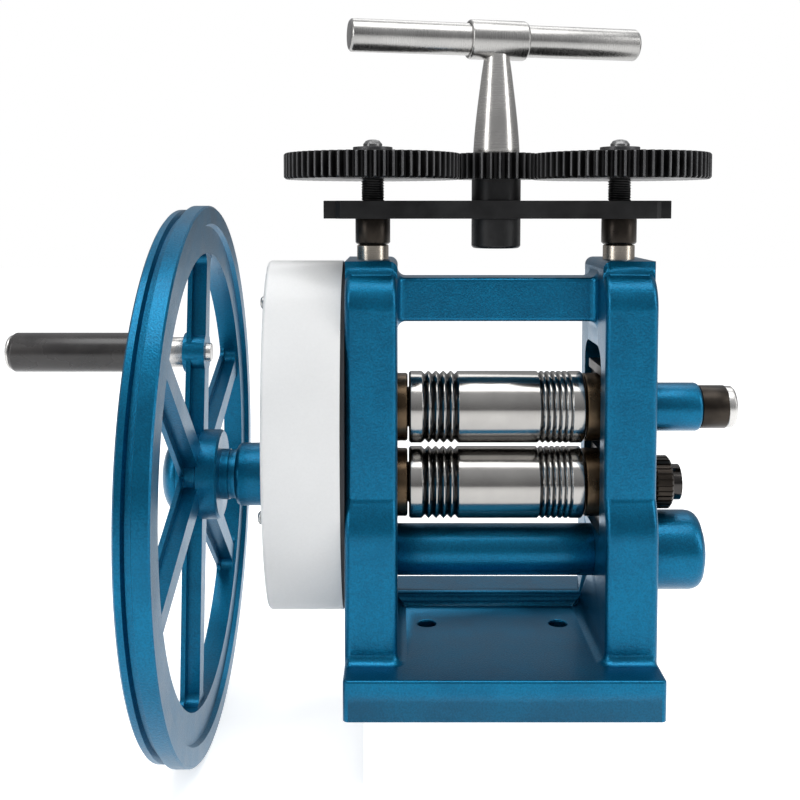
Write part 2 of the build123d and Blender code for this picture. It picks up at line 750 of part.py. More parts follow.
def handle_column():
    """Turned steel column of the T handle: tapered, with the cross sleeve at its top."""
    taper = [
        (0, GEAR_TOP),
        (17.2, GEAR_TOP),
        (16.2, GEAR_TOP + 20),
        (14.4, GEAR_TOP + 42),
        (10.2, BAR_Z - 12),
        (10.2, BAR_Z - 6),
        (0, BAR_Z - 6),
    ]
    column = turned_z(taper) + cylinder_z(HUB_END + 1, GEAR_TOP, SHAFT_TOP_D)
    sleeve_profile = [
        (-SLEEVE_HALF, 0),
        (-SLEEVE_HALF, SLEEVE_R - 1.1),
        (-SLEEVE_HALF + 1.5, SLEEVE_R),
        (SLEEVE_HALF - 1.5, SLEEVE_R),
        (SLEEVE_HALF, SLEEVE_R - 1.1),
        (SLEEVE_HALF, 0),
    ]
    sleeve = Pos(0, 0, BAR_Z) * Rot(0, 0, BAR_TURN) * turned_x(sleeve_profile, 0)
    bar_hole = Pos(0, 0, BAR_Z) * Rot(0, 0, BAR_TURN) * cylinder_x(-40, 40, BAR_D + 2 * SEAT, 0)
    return column + sleeve - bar_hole


def handle_bar():
    """Cross bar of the T handle, held in the sleeve, with chamfered ends."""
    half = BAR_LENGTH / 2
    radius = BAR_D / 2
    profile = [(-half, 0), (-half, radius - 1.6), (-half + 1.6, radius)]
    profile += [(half - 1.6, radius), (half, radius - 1.6), (half, 0)]
    return Pos(0, 0, BAR_Z) * Rot(0, 0, BAR_TURN) * turned_x(profile, 0)


def gear_washer(x):
    """Thick washer on top of a screw gear."""
    return tube_z(GEAR_TOP, WASHER_TOP, WASHER_D, BOLT_D + 0.1, x)


def gear_bolt(x):
    """Domed slotted screw that holds the washer and the gear down on the screw."""
    z = WASHER_TOP
    profile = [(0, GEAR_TOP), (BOLT_D / 2, GEAR_TOP), (BOLT_D / 2, z), (7.1, z), (7.1, z + 2.2)]
    profile += [(5.2, z + 4.6), (2.6, z + 5.5), (0, z + 5.7)]
    slot = block(x - 8, x + 8, -0.8, 0.8, z + 3.6, z + 7)
    return turned_z(profile, x) - slot


# ---- hand wheel --------------------------------------------------------------------------
def wheel_rim():
    """Rim with a groove round its edge, a raised lip and a recessed flat inside it."""
    profile = [
        (WHEEL_FACE_X, 189.5),
        (WHEEL_FACE_X, WHEEL_R - 1.2),
        (WHEEL_FACE_X - 1.2, WHEEL_R),
        (-224.2, WHEEL_R),
        (-225.8, WHEEL_R - 5.5),
        (-229.6, WHEEL_R - 6.0),
        (-231.4, WHEEL_R - 3.0),
        (WHEEL_BACK_X + 1.2, WHEEL_R - 3.0),
        (WHEEL_BACK_X, WHEEL_R - 4.4),
        (WHEEL_BACK_X, 189.0),
        (-233.0, 187.5),
        (-233.0, RIM_INNER),
        (-217.0, RIM_INNER),
        (-217.0, 188.0),
    ]
    return turned_x(profile, 0)


def spoke_layer(half_root, half_tip, x0, x1, corner):
    """One layer of the spokes: a disc cut by six windows with rounded corners."""
    spoke = Polyline((-half_root, 0), (half_root, 0), (half_tip, 180), (-half_tip, 180), close=True)
    spokes = [Rot(0, 0, 360 * i / SPOKES) * make_face(spoke) for i in range(SPOKES)]
    windows = Circle(RIM_INNER) - Circle(31) - spokes
    outer = [v for v in windows.vertices() if v.X ** 2 + v.Y ** 2 > 100 ** 2]
    windows = fillet(outer, corner)
    return extrude(Plane.YZ.offset(x0) * (Circle(RIM_INNER + 2) - windows), x1 - x0)


def wheel_hub():
    """Hub barrel with its right-hand flange and neck, bored for the shaft."""
    profile = [
        (-236.5, 0),
        (-236.5, 29.0),
        (-222.0, 31.5),
        (-221.0, 33.5),
        (-207.5, 33.5),
        (-206.0, 32.0),
        (-206.0, 18.9),
        (-200.2, 18.9),
        (-200.2, 0),
    ]
    return turned_x(profile, 0)


def hand_wheel():
    """Spoked hand wheel, one casting, with the boss that takes the crank pin."""
    flanges = spoke_layer(16.0, 11.5, -233.0, -229.5, 6.0)
    ribs = spoke_layer(9.5, 6.5, -230.5, -219.5, 8.0)
    boss = cylinder_x(-236.0, -219.5, 30, CRANK_R)
    wheel = wheel_rim() + wheel_hub() + flanges + ribs + boss
    wheel -= cylinder_x(-240, -200, WHEEL_SHAFT_D + 2 * SEAT, 0)
    wheel -= cylinder_x(-240, -228.0, HUB_POCKET_D, 0)
    wheel -= cylinder_x(-240, -215, CRANK_THREAD_D + 2 * SEAT, CRANK_R)
    return place_on_wheel(wheel)


def place_on_wheel(solid):
    """Move a piece modelled about the wheel's own axis to its place and rest angle."""
    return Pos(0, 0, WHEEL_Z) * Rot(-WHEEL_TURN, 0, 0) * solid


def wheel_shaft():
    """Steel shaft from the hub nut to the pinion in the gear case."""
    radius = WHEEL_SHAFT_D / 2
    profile = [(-234.5, 0), (-234.5, 7.0), (-228.0, 7.0), (-228.0, radius)]
    profile += [(WHEEL_PINION_X[1], radius), (WHEEL_PINION_X[1], 0)]
    return turned_x(profile, WHEEL_Z)


def hub_nut():
    """Hexagon nut and shoulder that clamp the wheel on its shaft."""
    hexagon = extrude(Plane.YZ.offset(-235.0) * RegularPolygon(12.7, 6), 7.0)
    return Pos(0, 0, WHEEL_Z) * hexagon - cylinder_x(-240, -227, 14.0 + 2 * SEAT, WHEEL_Z)


def hub_cap():
    """Painted dome over the hub nut."""
    outer = [(-236.5, 29.0), (-241.0, 27.6), (-245.5, 23.0), (-248.6, 14.5), (-250.0, 0)]
    inner = [(-246.5, 0), (-245.0, 12.0), (-241.0, 19.0), (-236.5, 22.0)]
    return turned_x(outer + inner, WHEEL_Z)


def hub_spacer():
    """Thin ring between the hub and the bearing housing."""
    return tube_x(-200.2, HOUSING_LEFT - 0.3, 36.4, WHEEL_SHAFT_D + 2 * SEAT, WHEEL_Z)


def crank_pin():
    """Steel pin screwed into the wheel, with a shoulder and the bearing for the grip."""
    profile = [
        (-216.0, 0),
        (-216.0, CRANK_THREAD_D / 2),
        (-236.0, CRANK_THREAD_D / 2),
        (-236.0, CRANK_SHOULDER_D / 2),
        (GRIP_RIGHT + 0.5, CRANK_SHOULDER_D / 2),
        (GRIP_RIGHT + 0.5, CRANK_PIN_D / 2),
        (GRIP_LEFT, CRANK_PIN_D / 2),
        (GRIP_LEFT, 0),
    ]
    return place_on_wheel(turned_x(profile, CRANK_R))


def crank_grip():
    """Black grip that turns freely on the crank pin."""
    bore = CRANK_PIN_D / 2 + RUNNING
    radius = GRIP_D / 2
    profile = [
        (GRIP_RIGHT, bore),
        (GRIP_RIGHT, radius - 1.4),
        (GRIP_RIGHT - 1.4, radius),
        (GRIP_LEFT + 3.0, radius),
        (GRIP_LEFT + 1.0, radius - 1.4),
        (GRIP_LEFT + 1.0, bore),
    ]
    return place_on_wheel(turned_x(profile, CRANK_R))


def crank_end_washer():
    """Steel end disc, fixed to the pin, that keeps the grip on."""
    inner = CRANK_PIN_D / 2 + SEAT
    outer = GRIP_D / 2 - 2.1
    profile = [
        (GRIP_LEFT + 0.7, inner),
        (GRIP_LEFT + 0.7, outer),
        (GRIP_LEFT - 0.6, outer),
        (GRIP_LEFT - 2.0, outer - 1.3),
        (GRIP_LEFT - 2.0, 0),
        (GRIP_LEFT, 0),
        (GRIP_LEFT, inner),
    ]
    return place_on_wheel(turned_x(profile, CRANK_R))


# ---- everything, in its place --------------------------------------------------------------
roll_gear = gear_face(ROLL_GEAR_TEETH, ROLL_GEAR_MODULE, 1.2, 1.0, 1.35, 25.0)
half_tooth_roll = 180 / ROLL_GEAR_TEETH

nodes = {
    "frame_casting": frame_casting(),
    "lower_block_right": bearing_block(LOWER_Z, WINDOW_BOTTOM, LOWER_BLOCK_TOP),
    "lower_block_left": mirrored(bearing_block(LOWER_Z, WINDOW_BOTTOM, LOWER_BLOCK_TOP)),
    "upper_block_right": bearing_block(UPPER_Z, UPPER_BLOCK_BOTTOM, UPPER_BLOCK_TOP),
    "upper_block_left": mirrored(bearing_block(UPPER_Z, UPPER_BLOCK_BOTTOM, UPPER_BLOCK_TOP)),
    "lower_bush_right": flanged_bush(LOWER_Z),
    "lower_bush_left": mirrored(flanged_bush(LOWER_Z)),
    "upper_bush_right": flanged_bush(UPPER_Z, SPIGOT_X),
    "upper_bush_left": mirrored(flanged_bush(UPPER_Z)),
    "lower_roll": lower_roll(),
    "upper_roll": upper_roll(),
    "lower_roll_gear": gear_x(roll_gear, *ROLL_GEAR_X, GEAR_SEAT_D + 2 * SEAT, LOWER_Z, 90),
    "upper_roll_gear": gear_x(
        roll_gear, *ROLL_GEAR_X, GEAR_SEAT_D + 2 * SEAT, UPPER_Z, 90 + half_tooth_roll
    ),
    "bull_gear": gear_x(
        gear_face(BULL_TEETH, MODULE, steps=2), *BULL_X, GEAR_SEAT_D + 2 * SEAT, LOWER_Z, -90
    ),
    "layshaft_pinion": gear_x(
        gear_face(LAY_PINION_TEETH, MODULE),
        *BULL_X,
        LAY_SHAFT_D + 2 * SEAT,
        LAY_Z,
        90 + 180 / LAY_PINION_TEETH,
    ),
    "layshaft_gear": gear_x(
        gear_face(LAY_GEAR_TEETH, MODULE, steps=2), *WHEEL_PINION_X, LAY_SHAFT_D + 2 * SEAT, LAY_Z, 90
    ),
    "wheel_pinion": gear_x(
        gear_face(WHEEL_PINION_TEETH, MODULE, steps=2),
        *WHEEL_PINION_X,
        WHEEL_SHAFT_D + 2 * SEAT,
        WHEEL_Z,
        -90 + 180 / WHEEL_PINION_TEETH,
    ),
    "lock_ring": tube_x(*LOCK_RING_X, 38, LOCK_THREAD_D + 2 * SEAT, LOWER_Z),
    "lock_nut": lock_nut(),
    "journal_sleeve": journal_sleeve(),
    "journal_ring": journal_ring(),
    "journal_nut": journal_nut(),
    "stay_tube": tube_x(-INNER_HALF, INNER_HALF, TUBE_D, TUBE_BORE, LAY_Z),
    "layshaft_cap": layshaft_cap(),
    "layshaft": layshaft(),
    "layshaft_bushes": Compound(children=[layshaft_bush(), mirrored(layshaft_bush())]),
    "layshaft_collar": tube_x(FRAME_HALF + 4.3, LAY_RIGHT_END - 2, 28, LAY_SHAFT_D + 2 * SEAT, LAY_Z),
    "case_back_plate": case_back_plate(),
    "case_screws": case_screws(),
    "gear_cover": gear_cover(),
    "cover_screws": cover_screws(),
    "wheel_housing": wheel_housing(),
    "housing_ring_nut": housing_ring_nut(),
    "wheel_bush": tube_x(
        HOUSING_LEFT, HOUSING_INNER_END, WHEEL_BUSH_D, WHEEL_SHAFT_D + 2 * RUNNING, WHEEL_Z
    ),
    "screw_nuts": Compound(children=[screw_nut(-SCREW_X), screw_nut(SCREW_X)]),
    "screw_keepers": Compound(children=[screw_keeper(-SCREW_X), screw_keeper(SCREW_X)]),
    "screw_spindle_left": screw_spindle(-SCREW_X),
    "screw_spindle_right": screw_spindle(SCREW_X),
    "screw_collar_left": screw_collar(-SCREW_X),
    "screw_collar_right": screw_collar(SCREW_X),
    "screw_gear_left": screw_gear(-SCREW_X, 180 / SCREW_GEAR_TEETH),
    "screw_gear_right": screw_gear(SCREW_X, 180 / SCREW_GEAR_TEETH),
    "gear_washer_left": gear_washer(-SCREW_X),
    "gear_washer_right": gear_washer(SCREW_X),
    "gear_bolt_left": gear_bolt(-SCREW_X),
    "gear_bolt_right": gear_bolt(SCREW_X),
    "bridge_plate": bridge_plate(),
    "centre_gear": centre_gear(),
    "centre_hub": centre_hub(),
    "handle_column": handle_column(),
    "handle_bar": handle_bar(),
    "hand_wheel": hand_wheel(),
    "wheel_shaft": wheel_shaft(),
    "hub_nut": hub_nut(),
    "hub_cap": hub_cap(),
    "hub_spacer": hub_spacer(),
    "crank_pin": crank_pin(),
    "crank_grip": crank_grip(),
    "crank_end_washer": crank_end_washer(),
}

os.makedirs("parts", exist_ok=True)
for name, shape in nodes.items():
    export_step(shape, f"parts/{name}.step")
print(len(nodes), "nodes")
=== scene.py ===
import bmesh
import bpy
from math import cos, pi, radians, sin
from mathutils import Matrix, Vector


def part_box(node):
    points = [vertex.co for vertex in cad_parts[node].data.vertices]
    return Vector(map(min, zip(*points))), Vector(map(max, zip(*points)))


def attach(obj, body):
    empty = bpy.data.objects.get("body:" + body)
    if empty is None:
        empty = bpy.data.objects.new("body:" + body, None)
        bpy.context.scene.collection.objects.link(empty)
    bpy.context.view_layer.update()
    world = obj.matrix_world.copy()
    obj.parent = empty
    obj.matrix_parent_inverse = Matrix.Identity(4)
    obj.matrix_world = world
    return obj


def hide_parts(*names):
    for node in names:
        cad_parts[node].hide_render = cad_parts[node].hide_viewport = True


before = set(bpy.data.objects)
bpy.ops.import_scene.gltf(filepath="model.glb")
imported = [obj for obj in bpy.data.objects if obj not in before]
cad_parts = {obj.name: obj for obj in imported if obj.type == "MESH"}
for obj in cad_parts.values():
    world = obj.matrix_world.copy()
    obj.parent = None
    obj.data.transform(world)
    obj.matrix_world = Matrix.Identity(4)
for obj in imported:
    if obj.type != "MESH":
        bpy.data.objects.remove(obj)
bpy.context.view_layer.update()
MM = 0.001


# ---- frame casting -----------------------------------------------------------------------
# One iron casting: a slab base, two standards, the crossbar and the back ledge.  It is
# sprayed with a metallic blue enamel, which lies in a fine orange peel over the sand-cast
# skin.
DEEP_BLUE = (0.0006, 0.085, 0.172, 1.0)
BRIGHT_BLUE = (0.0012, 0.128, 0.248, 1.0)


def shader_group(name, inputs, outputs):
    """Empty shader node group with its sockets, its input node and its output node."""
    group = bpy.data.node_groups.new(name, "ShaderNodeTree")
    for label, kind, value in inputs:
        socket = group.interface.new_socket(label, in_out="INPUT", socket_type=kind)
        socket.default_value = value
    for label, kind in outputs:
        group.interface.new_socket(label, in_out="OUTPUT", socket_type=kind)
    return group, group.nodes.new("NodeGroupInput"), group.nodes.new("NodeGroupOutput")


def noise(nodes, links, vector, scale, detail=2.0):
    """Noise texture on a vector socket."""
    node = nodes.new("ShaderNodeTexNoise")
    node.inputs["Detail"].default_value = detail
    if isinstance(scale, float):
        node.inputs["Scale"].default_value = scale
    else:
        links.new(scale, node.inputs["Scale"])
    links.new(vector, node.inputs["Vector"])
    return node.outputs["Fac"]


def spread(nodes, links, value, low, high):
    """Map a 0 to 1 value, steepened about its middle, to low..high."""
    node = nodes.new("ShaderNodeMapRange")
    node.inputs["From Min"].default_value = 0.3
    node.inputs["From Max"].default_value = 0.7
    links.new(value, node.inputs["Value"])
    for label, end in (("To Min", low), ("To Max", high)):
        if isinstance(end, float):
            node.inputs[label].default_value = end
        else:
            links.new(end, node.inputs[label])
    return node.outputs["Result"]


def bumped(nodes, links, height, distance):
    """Normal of a surface raised by a height socket."""
    node = nodes.new("ShaderNodeBump")
    links.new(height, node.inputs["Height"])
    if isinstance(distance, float):
        node.inputs["Distance"].default_value = distance
    else:
        links.new(distance, node.inputs["Distance"])
    return node.outputs["Normal"]


def two_colours(nodes, links, factor, first, second):
    """Colour that goes from first to second with a factor socket."""
    node = nodes.new("ShaderNodeMix")
    node.data_type = "RGBA"
    links.new(factor, node.inputs["Factor"])
    for socket, colour in ((node.inputs["A"], first), (node.inputs["B"], second)):
        if isinstance(colour, tuple):
            socket.default_value = colour
        else:
            links.new(colour, socket)
    return node.outputs["Result"]


# paint over a cast or sheet surface: peel, soft waves of the metal below, and flake mottling
paint_skin, skin_in, skin_out = shader_group(
    "paint_skin",
    [
        ("Vector", "NodeSocketVector", (0, 0, 0)),
        ("Peel Scale", "NodeSocketFloat", 700.0),
        ("Peel Depth", "NodeSocketFloat", 0.0002),
        ("Rough Low", "NodeSocketFloat", 0.25),
        ("Rough High", "NodeSocketFloat", 0.4),
    ],
    [
        ("Mottle", "NodeSocketFloat"),
        ("Roughness", "NodeSocketFloat"),
        ("Normal", "NodeSocketVector"),
    ],
)
tree = paint_skin
peel = noise(tree.nodes, tree.links, skin_in.outputs["Vector"], skin_in.outputs["Peel Scale"], 2.0)
waves = noise(tree.nodes, tree.links, skin_in.outputs["Vector"], 38.0, 3.0)
sum_node = tree.nodes.new("ShaderNodeMath")
sum_node.operation = "MULTIPLY_ADD"
sum_node.inputs[1].default_value = 0.7
tree.links.new(waves, sum_node.inputs[0])
tree.links.new(peel, sum_node.inputs[2])
mottle = tree.nodes.new("ShaderNodeMath")
mottle.operation = "MULTIPLY"
tree.links.new(peel, mottle.inputs[0])
tree.links.new(spread(tree.nodes, tree.links, waves, 0.75, 1.25), mottle.inputs[1])
tree.links.new(
    spread(tree.nodes, tree.links, mottle.outputs[0], 0.0, 1.0), skin_out.inputs["Mottle"]
)
rough = spread(
    tree.nodes, tree.links, waves, skin_in.outputs["Rough Low"], skin_in.outputs["Rough High"]
)
tree.links.new(rough, skin_out.inputs["Roughness"])
normal = bumped(tree.nodes, tree.links, sum_node.outputs[0], skin_in.outputs["Peel Depth"])
tree.links.new(normal, skin_out.inputs["Normal"])


def new_material(name, metallic, roughness=None, colour=None):
    """Material with its shader, and Object coordinates as a vector socket."""
    material = bpy.data.materials.new(name)
    material.use_nodes = True
    nodes = material.node_tree.nodes
    shader = nodes["Principled BSDF"]
    shader.inputs["Metallic"].default_value = metallic
    if roughness is not None:
        shader.inputs["Roughness"].default_value = roughness
    if colour is not None:
        shader.inputs["Base Color"].default_value = colour
    place = nodes.new("ShaderNodeTexCoord").outputs["Object"]
    return material, nodes, material.node_tree.links, shader, place


def painted(name, first, second, metallic, peel_scale, peel_depth, rough_low, rough_high, coat):
    """Sprayed enamel in two close colours."""
    material, nodes, links, shader, place = new_material(name, metallic)
    skin = nodes.new("ShaderNodeGroup")
    skin.node_tree = paint_skin
    skin.inputs["Peel Scale"].default_value = peel_scale
    skin.inputs["Peel Depth"].default_value = peel_depth
    skin.inputs["Rough Low"].default_value = rough_low
    skin.inputs["Rough High"].default_value = rough_high
    links.new(place, skin.inputs["Vector"])
    links.new(
        two_colours(nodes, links, skin.outputs["Mottle"], first, second),
        shader.inputs["Base Color"],
    )
    links.new(skin.outputs["Roughness"], shader.inputs["Roughness"])
    links.new(skin.outputs["Normal"], shader.inputs["Normal"])
    shader.inputs["Coat Weight"].default_value = coat
    shader.inputs["Coat Roughness"].default_value = 0.12
    shader.inputs["Specular IOR Level"].default_value = 0.3
    return material


blue_enamel = painted("blue_enamel", DEEP_BLUE, BRIGHT_BLUE, 0.80, 800.0, 0.00020, 0.29, 0.37, 0.08)


def smooth(mesh, angle=32.0):
    """Smooth shading with the edges above an angle left sharp."""
    mesh.shade_smooth()
    mesh.set_sharp_from_angle(angle=radians(angle))


def settle(piece, body, material, replaces=()):
    """Give a finished piece its material, and let it ride on its body in place of CAD nodes."""
    piece.data.materials.clear()
    piece.data.materials.append(material)
    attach(piece, body)
    if replaces:
        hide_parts(*replaces)
    return piece


def baked(piece):
    """Turn the piece with its modifiers into a plain mesh."""
    graph = bpy.context.evaluated_depsgraph_get()
    mesh = bpy.data.meshes.new_from_object(piece.evaluated_get(graph))
    piece.modifiers.clear()
    piece.data = mesh
    return piece


def rounded(piece, width, segments=2, angle=35.0):
    """Round the sharp edges of a piece and shade its curves smoothly."""
    bevel = piece.modifiers.new("edges", "BEVEL")
    bevel.width = width
    bevel.segments = segments
    bevel.limit_method = "ANGLE"
    bevel.angle_limit = radians(angle)
    bevel.harden_normals = False
    bevel.use_clamp_overlap = True
    baked(piece)
    smooth(piece.data)
    return piece


def dressed(node, width, segments=2, angle=35.0):
    """Copy of a CAD piece with its curves smooth, and its edges rounded if it has a width."""
    bm = bmesh.new()
    bm.from_mesh(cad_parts[node].data)
    bmesh.ops.remove_doubles(bm, verts=bm.verts, dist=2e-6)
    if width:
        bmesh.ops.dissolve_limit(bm, angle_limit=radians(0.4), verts=bm.verts, edges=bm.edges)
    mesh = bpy.data.meshes.new(node + "_finish")
    bm.to_mesh(mesh)
    bm.free()
    piece = bpy.data.objects.new(node + "_finish", mesh)
    bpy.context.scene.collection.objects.link(piece)
    if width:
        rounded(piece, width, segments, angle)
    else:
        smooth(mesh, 40.0)
    flat_faces = piece.modifiers.new("flat_faces", "WEIGHTED_NORMAL")
    flat_faces.mode = "FACE_AREA"
    flat_faces.keep_sharp = True
    return baked(piece)


casting = dressed("frame_casting", 0)
settle(casting, "frame", blue_enamel, ["frame_casting"])


# ---- bearing blocks, bushes and screw nuts -------------------------------------------------
# Milled iron blocks slide in the windows of the standards.  Each holds a flanged bronze bush
# that has gone brown with oil, and the screws turn in bronze nuts above them.
oil_film, film_in, film_out = shader_group(
    "oil_film",
    [
        ("Vector", "NodeSocketVector", (0, 0, 0)),
        ("Scale", "NodeSocketFloat", 60.0),
        ("Rough Low", "NodeSocketFloat", 0.25),
        ("Rough High", "NodeSocketFloat", 0.45),
    ],
    [("Mask", "NodeSocketFloat"), ("Roughness", "NodeSocketFloat"), ("Normal", "NodeSocketVector")],
)
tree = oil_film
blots = noise(tree.nodes, tree.links, film_in.outputs["Vector"], film_in.outputs["Scale"], 5.0)
grain = noise(tree.nodes, tree.links, film_in.outputs["Vector"], 1600.0, 2.0)
mask = spread(tree.nodes, tree.links, blots, 0.0, 1.0)
tree.links.new(mask, film_out.inputs["Mask"])
film_rough = spread(
    tree.nodes, tree.links, blots, film_in.outputs["Rough Low"], film_in.outputs["Rough High"]
)
tree.links.new(film_rough, film_out.inputs["Roughness"])
tree.links.new(bumped(tree.nodes, tree.links, grain, 0.00003), film_out.inputs["Normal"])


def oiled(name, first, second, metallic, scale, rough_low, rough_high):
    """Bare or blackened metal, blotched by a thin film of oil."""
    material, nodes, links, shader, place = new_material(name, metallic)
    film = nodes.new("ShaderNodeGroup")
    film.node_tree = oil_film
    film.inputs["Scale"].default_value = scale
    film.inputs["Rough Low"].default_value = rough_low
    film.inputs["Rough High"].default_value = rough_high
    links.new(place, film.inputs["Vector"])
    links.new(
        two_colours(nodes, links, film.outputs["Mask"], first, second), shader.inputs["Base Color"]
    )
    links.new(film.outputs["Roughness"], shader.inputs["Roughness"])
    links.new(film.outputs["Normal"], shader.inputs["Normal"])
    return material


block_iron = oiled(
    "block_iron", (0.035, 0.033, 0.032, 1), (0.075, 0.070, 0.066, 1), 0.85, 45.0, 0.3, 0.5
)
brown_bronze = oiled(
    "brown_bronze", (0.055, 0.036, 0.020, 1), (0.130, 0.088, 0.052, 1), 0.9, 70.0, 0.22, 0.4
)
for side in ("left", "right"):
    for level, body in (("lower", "frame"), ("upper", "upper_blocks")):
        name = f"{level}_block_{side}"
        settle(dressed(name, 0.4 * MM), body, block_iron, [name])
        name = f"{level}_bush_{side}"
        settle(dressed(name, 0.3 * MM), body, brown_bronze, [name])
settle(dressed("screw_nuts", 0.3 * MM), "frame", brown_bronze, ["screw_nuts"])
settle(
    dressed("screw_keepers", 0.4 * MM),
    "upper_blocks",
    block_iron,
    ["screw_keepers"],
)


# ---- rolls -------------------------------------------------------------------------------
# Forged tool-steel rolls, hardened, ground and polished to a mirror.  Square wire grooves are
# turned into both ends of the working face, and painted shade darkens the bottom of them.
ROLL_HALF = 65.0
ROLL_R = 27.0
JOURNAL_R = 15.0
GEAR_SEAT_R = 13.0
GEAR_SEAT_END = -111.0
LOCK_SEAT = (110.0, 13.5)
NUT_SEAT = (153.6, 12.0)
# grooves from left to right: first centre, pitch, count, width, depth, shrink from one to the next
GROOVES = ((-53.0, 5.6, 5, 4.8, 2.4, 0.0), (33.0, 4.35, 6, 3.5, 1.7, 0.07))

# fine rings left by a lathe or grinder, across an axis, with handling marks over them
tool_marks, marks_in, marks_out = shader_group(
    "tool_marks",
    [
        ("Vector", "NodeSocketVector", (0, 0, 0)),
        ("Axis", "NodeSocketVector", (1, 0, 0)),
        ("Marks", "NodeSocketFloat", 9000.0),
        ("Depth", "NodeSocketFloat", 0.00001),
        ("Rough Low", "NodeSocketFloat", 0.15),
        ("Rough High", "NodeSocketFloat", 0.3),
    ],
    [("Mask", "NodeSocketFloat"), ("Roughness", "NodeSocketFloat"), ("Normal", "NodeSocketVector")],
)
tree = tool_marks
along = tree.nodes.new("ShaderNodeVectorMath")
along.operation = "DOT_PRODUCT"
tree.links.new(marks_in.outputs["Vector"], along.inputs[0])
tree.links.new(marks_in.outputs["Axis"], along.inputs[1])
rings = tree.nodes.new("ShaderNodeTexNoise")
rings.noise_dimensions = "1D"
rings.inputs["Detail"].default_value = 3.0
tree.links.new(along.outputs["Value"], rings.inputs["W"])
tree.links.new(marks_in.outputs["Marks"], rings.inputs["Scale"])
smudge = noise(tree.nodes, tree.links, marks_in.outputs["Vector"], 32.0, 4.0)
blend = tree.nodes.new("ShaderNodeMath")
blend.operation = "MULTIPLY_ADD"
blend.inputs[1].default_value = 0.5
tree.links.new(rings.outputs["Fac"], blend.inputs[0])
half_smudge = tree.nodes.new("ShaderNodeMath")
half_smudge.operation = "MULTIPLY"
half_smudge.inputs[1].default_value = 0.5
tree.links.new(smudge, half_smudge.inputs[0])
tree.links.new(half_smudge.outputs[0], blend.inputs[2])
tree.links.new(spread(tree.nodes, tree.links, blend.outputs[0], 0.0, 1.0), marks_out.inputs["Mask"])
marks_rough = spread(
    tree.nodes,
    tree.links,
    blend.outputs[0],
    marks_in.outputs["Rough Low"],
    marks_in.outputs["Rough High"],
)
tree.links.new(marks_rough, marks_out.inputs["Roughness"])
marks_normal = bumped(tree.nodes, tree.links, rings.outputs["Fac"], marks_in.outputs["Depth"])
tree.links.new(marks_normal, marks_out.inputs["Normal"])


def machined(name, first, second, axis, marks, depth, rough_low, rough_high, groove=None):
    """Turned or ground steel.  groove is (axis height, radius, colour) of painted shade in its
    grooves.
    """
    material, nodes, links, shader, place = new_material(name, 1.0)
    tool = nodes.new("ShaderNodeGroup")
    tool.node_tree = tool_marks
    tool.inputs["Axis"].default_value = axis
    tool.inputs["Marks"].default_value = marks
    tool.inputs["Depth"].default_value = depth
    tool.inputs["Rough Low"].default_value = rough_low
    tool.inputs["Rough High"].default_value = rough_high
    links.new(place, tool.inputs["Vector"])
    colour = two_colours(nodes, links, tool.outputs["Mask"], first, second)
    # Painted shade: the colour darkens towards the bottom of each groove, by distance from the
    # axis.
    if groove:
        height, radius, groove_shade_colour = groove
        centred = nodes.new("ShaderNodeMapping")
        centred.inputs["Location"].default_value = (0, 0, -height)
        centred.inputs["Scale"].default_value = (0, 1, 1)
        links.new(place, centred.inputs["Vector"])
        length = nodes.new("ShaderNodeVectorMath")
        length.operation = "LENGTH"
        links.new(centred.outputs["Vector"], length.inputs[0])
        groove_shade_mask = nodes.new("ShaderNodeMapRange")
        groove_shade_mask.inputs["From Min"].default_value = radius - 0.2 * MM
        groove_shade_mask.inputs["From Max"].default_value = radius - 1.3 * MM
        links.new(length.outputs["Value"], groove_shade_mask.inputs["Value"])
        colour = two_colours(nodes, links, groove_shade_mask.outputs["Result"], colour, groove_shade_colour)
    links.new(colour, shader.inputs["Base Color"])
    links.new(tool.outputs["Roughness"], shader.inputs["Roughness"])
    links.new(tool.outputs["Normal"], shader.inputs["Normal"])
    return material


def turned(name, profile, direction, centre, width=0.35, segments=128, sides=2):
    """Turn (along, radius) points in millimetres about an axis, and round the corners.

    direction is the axis the profile runs along and centre a point on it.  A profile that
    starts and ends on the axis is solid; any other is closed round a bore.
    """
    axis = Vector(direction).normalized()
    across = axis.orthogonal().normalized()
    third = axis.cross(across)
    bm = bmesh.new()
    loops = []
    for along, radius in profile:
        middle = Vector(centre) + axis * along * MM
        if radius < 1e-6:
            loops.append([bm.verts.new(middle)])
            continue
        ring = []
        for i in range(segments):
            turn = 2 * pi * i / segments
            ring.append(
                bm.verts.new(middle + (across * cos(turn) + third * sin(turn)) * radius * MM)
            )
        loops.append(ring)
    pairs = list(zip(loops, loops[1:]))
    if len(loops[0]) > 1 and len(loops[-1]) > 1:
        pairs.append((loops[-1], loops[0]))
    for first, second in pairs:
        for i in range(segments):
            j = (i + 1) % segments
            if len(first) == 1 and len(second) > 1:
                bm.faces.new((first[0], second[i], second[j]))
            elif len(second) == 1 and len(first) > 1:
                bm.faces.new((first[i], second[0], first[j]))
            elif len(first) > 1:
                bm.faces.new((first[i], second[i], second[j], first[j]))
    bmesh.ops.recalc_face_normals(bm, faces=bm.faces)
    mesh = bpy.data.meshes.new(name)
    bm.to_mesh(mesh)
    bm.free()
    piece = bpy.data.objects.new(name, mesh)
    bpy.context.scene.collection.objects.link(piece)
    if width:
        return rounded(piece, width * MM, sides, 22.0)
    smooth(piece.data)
    return piece


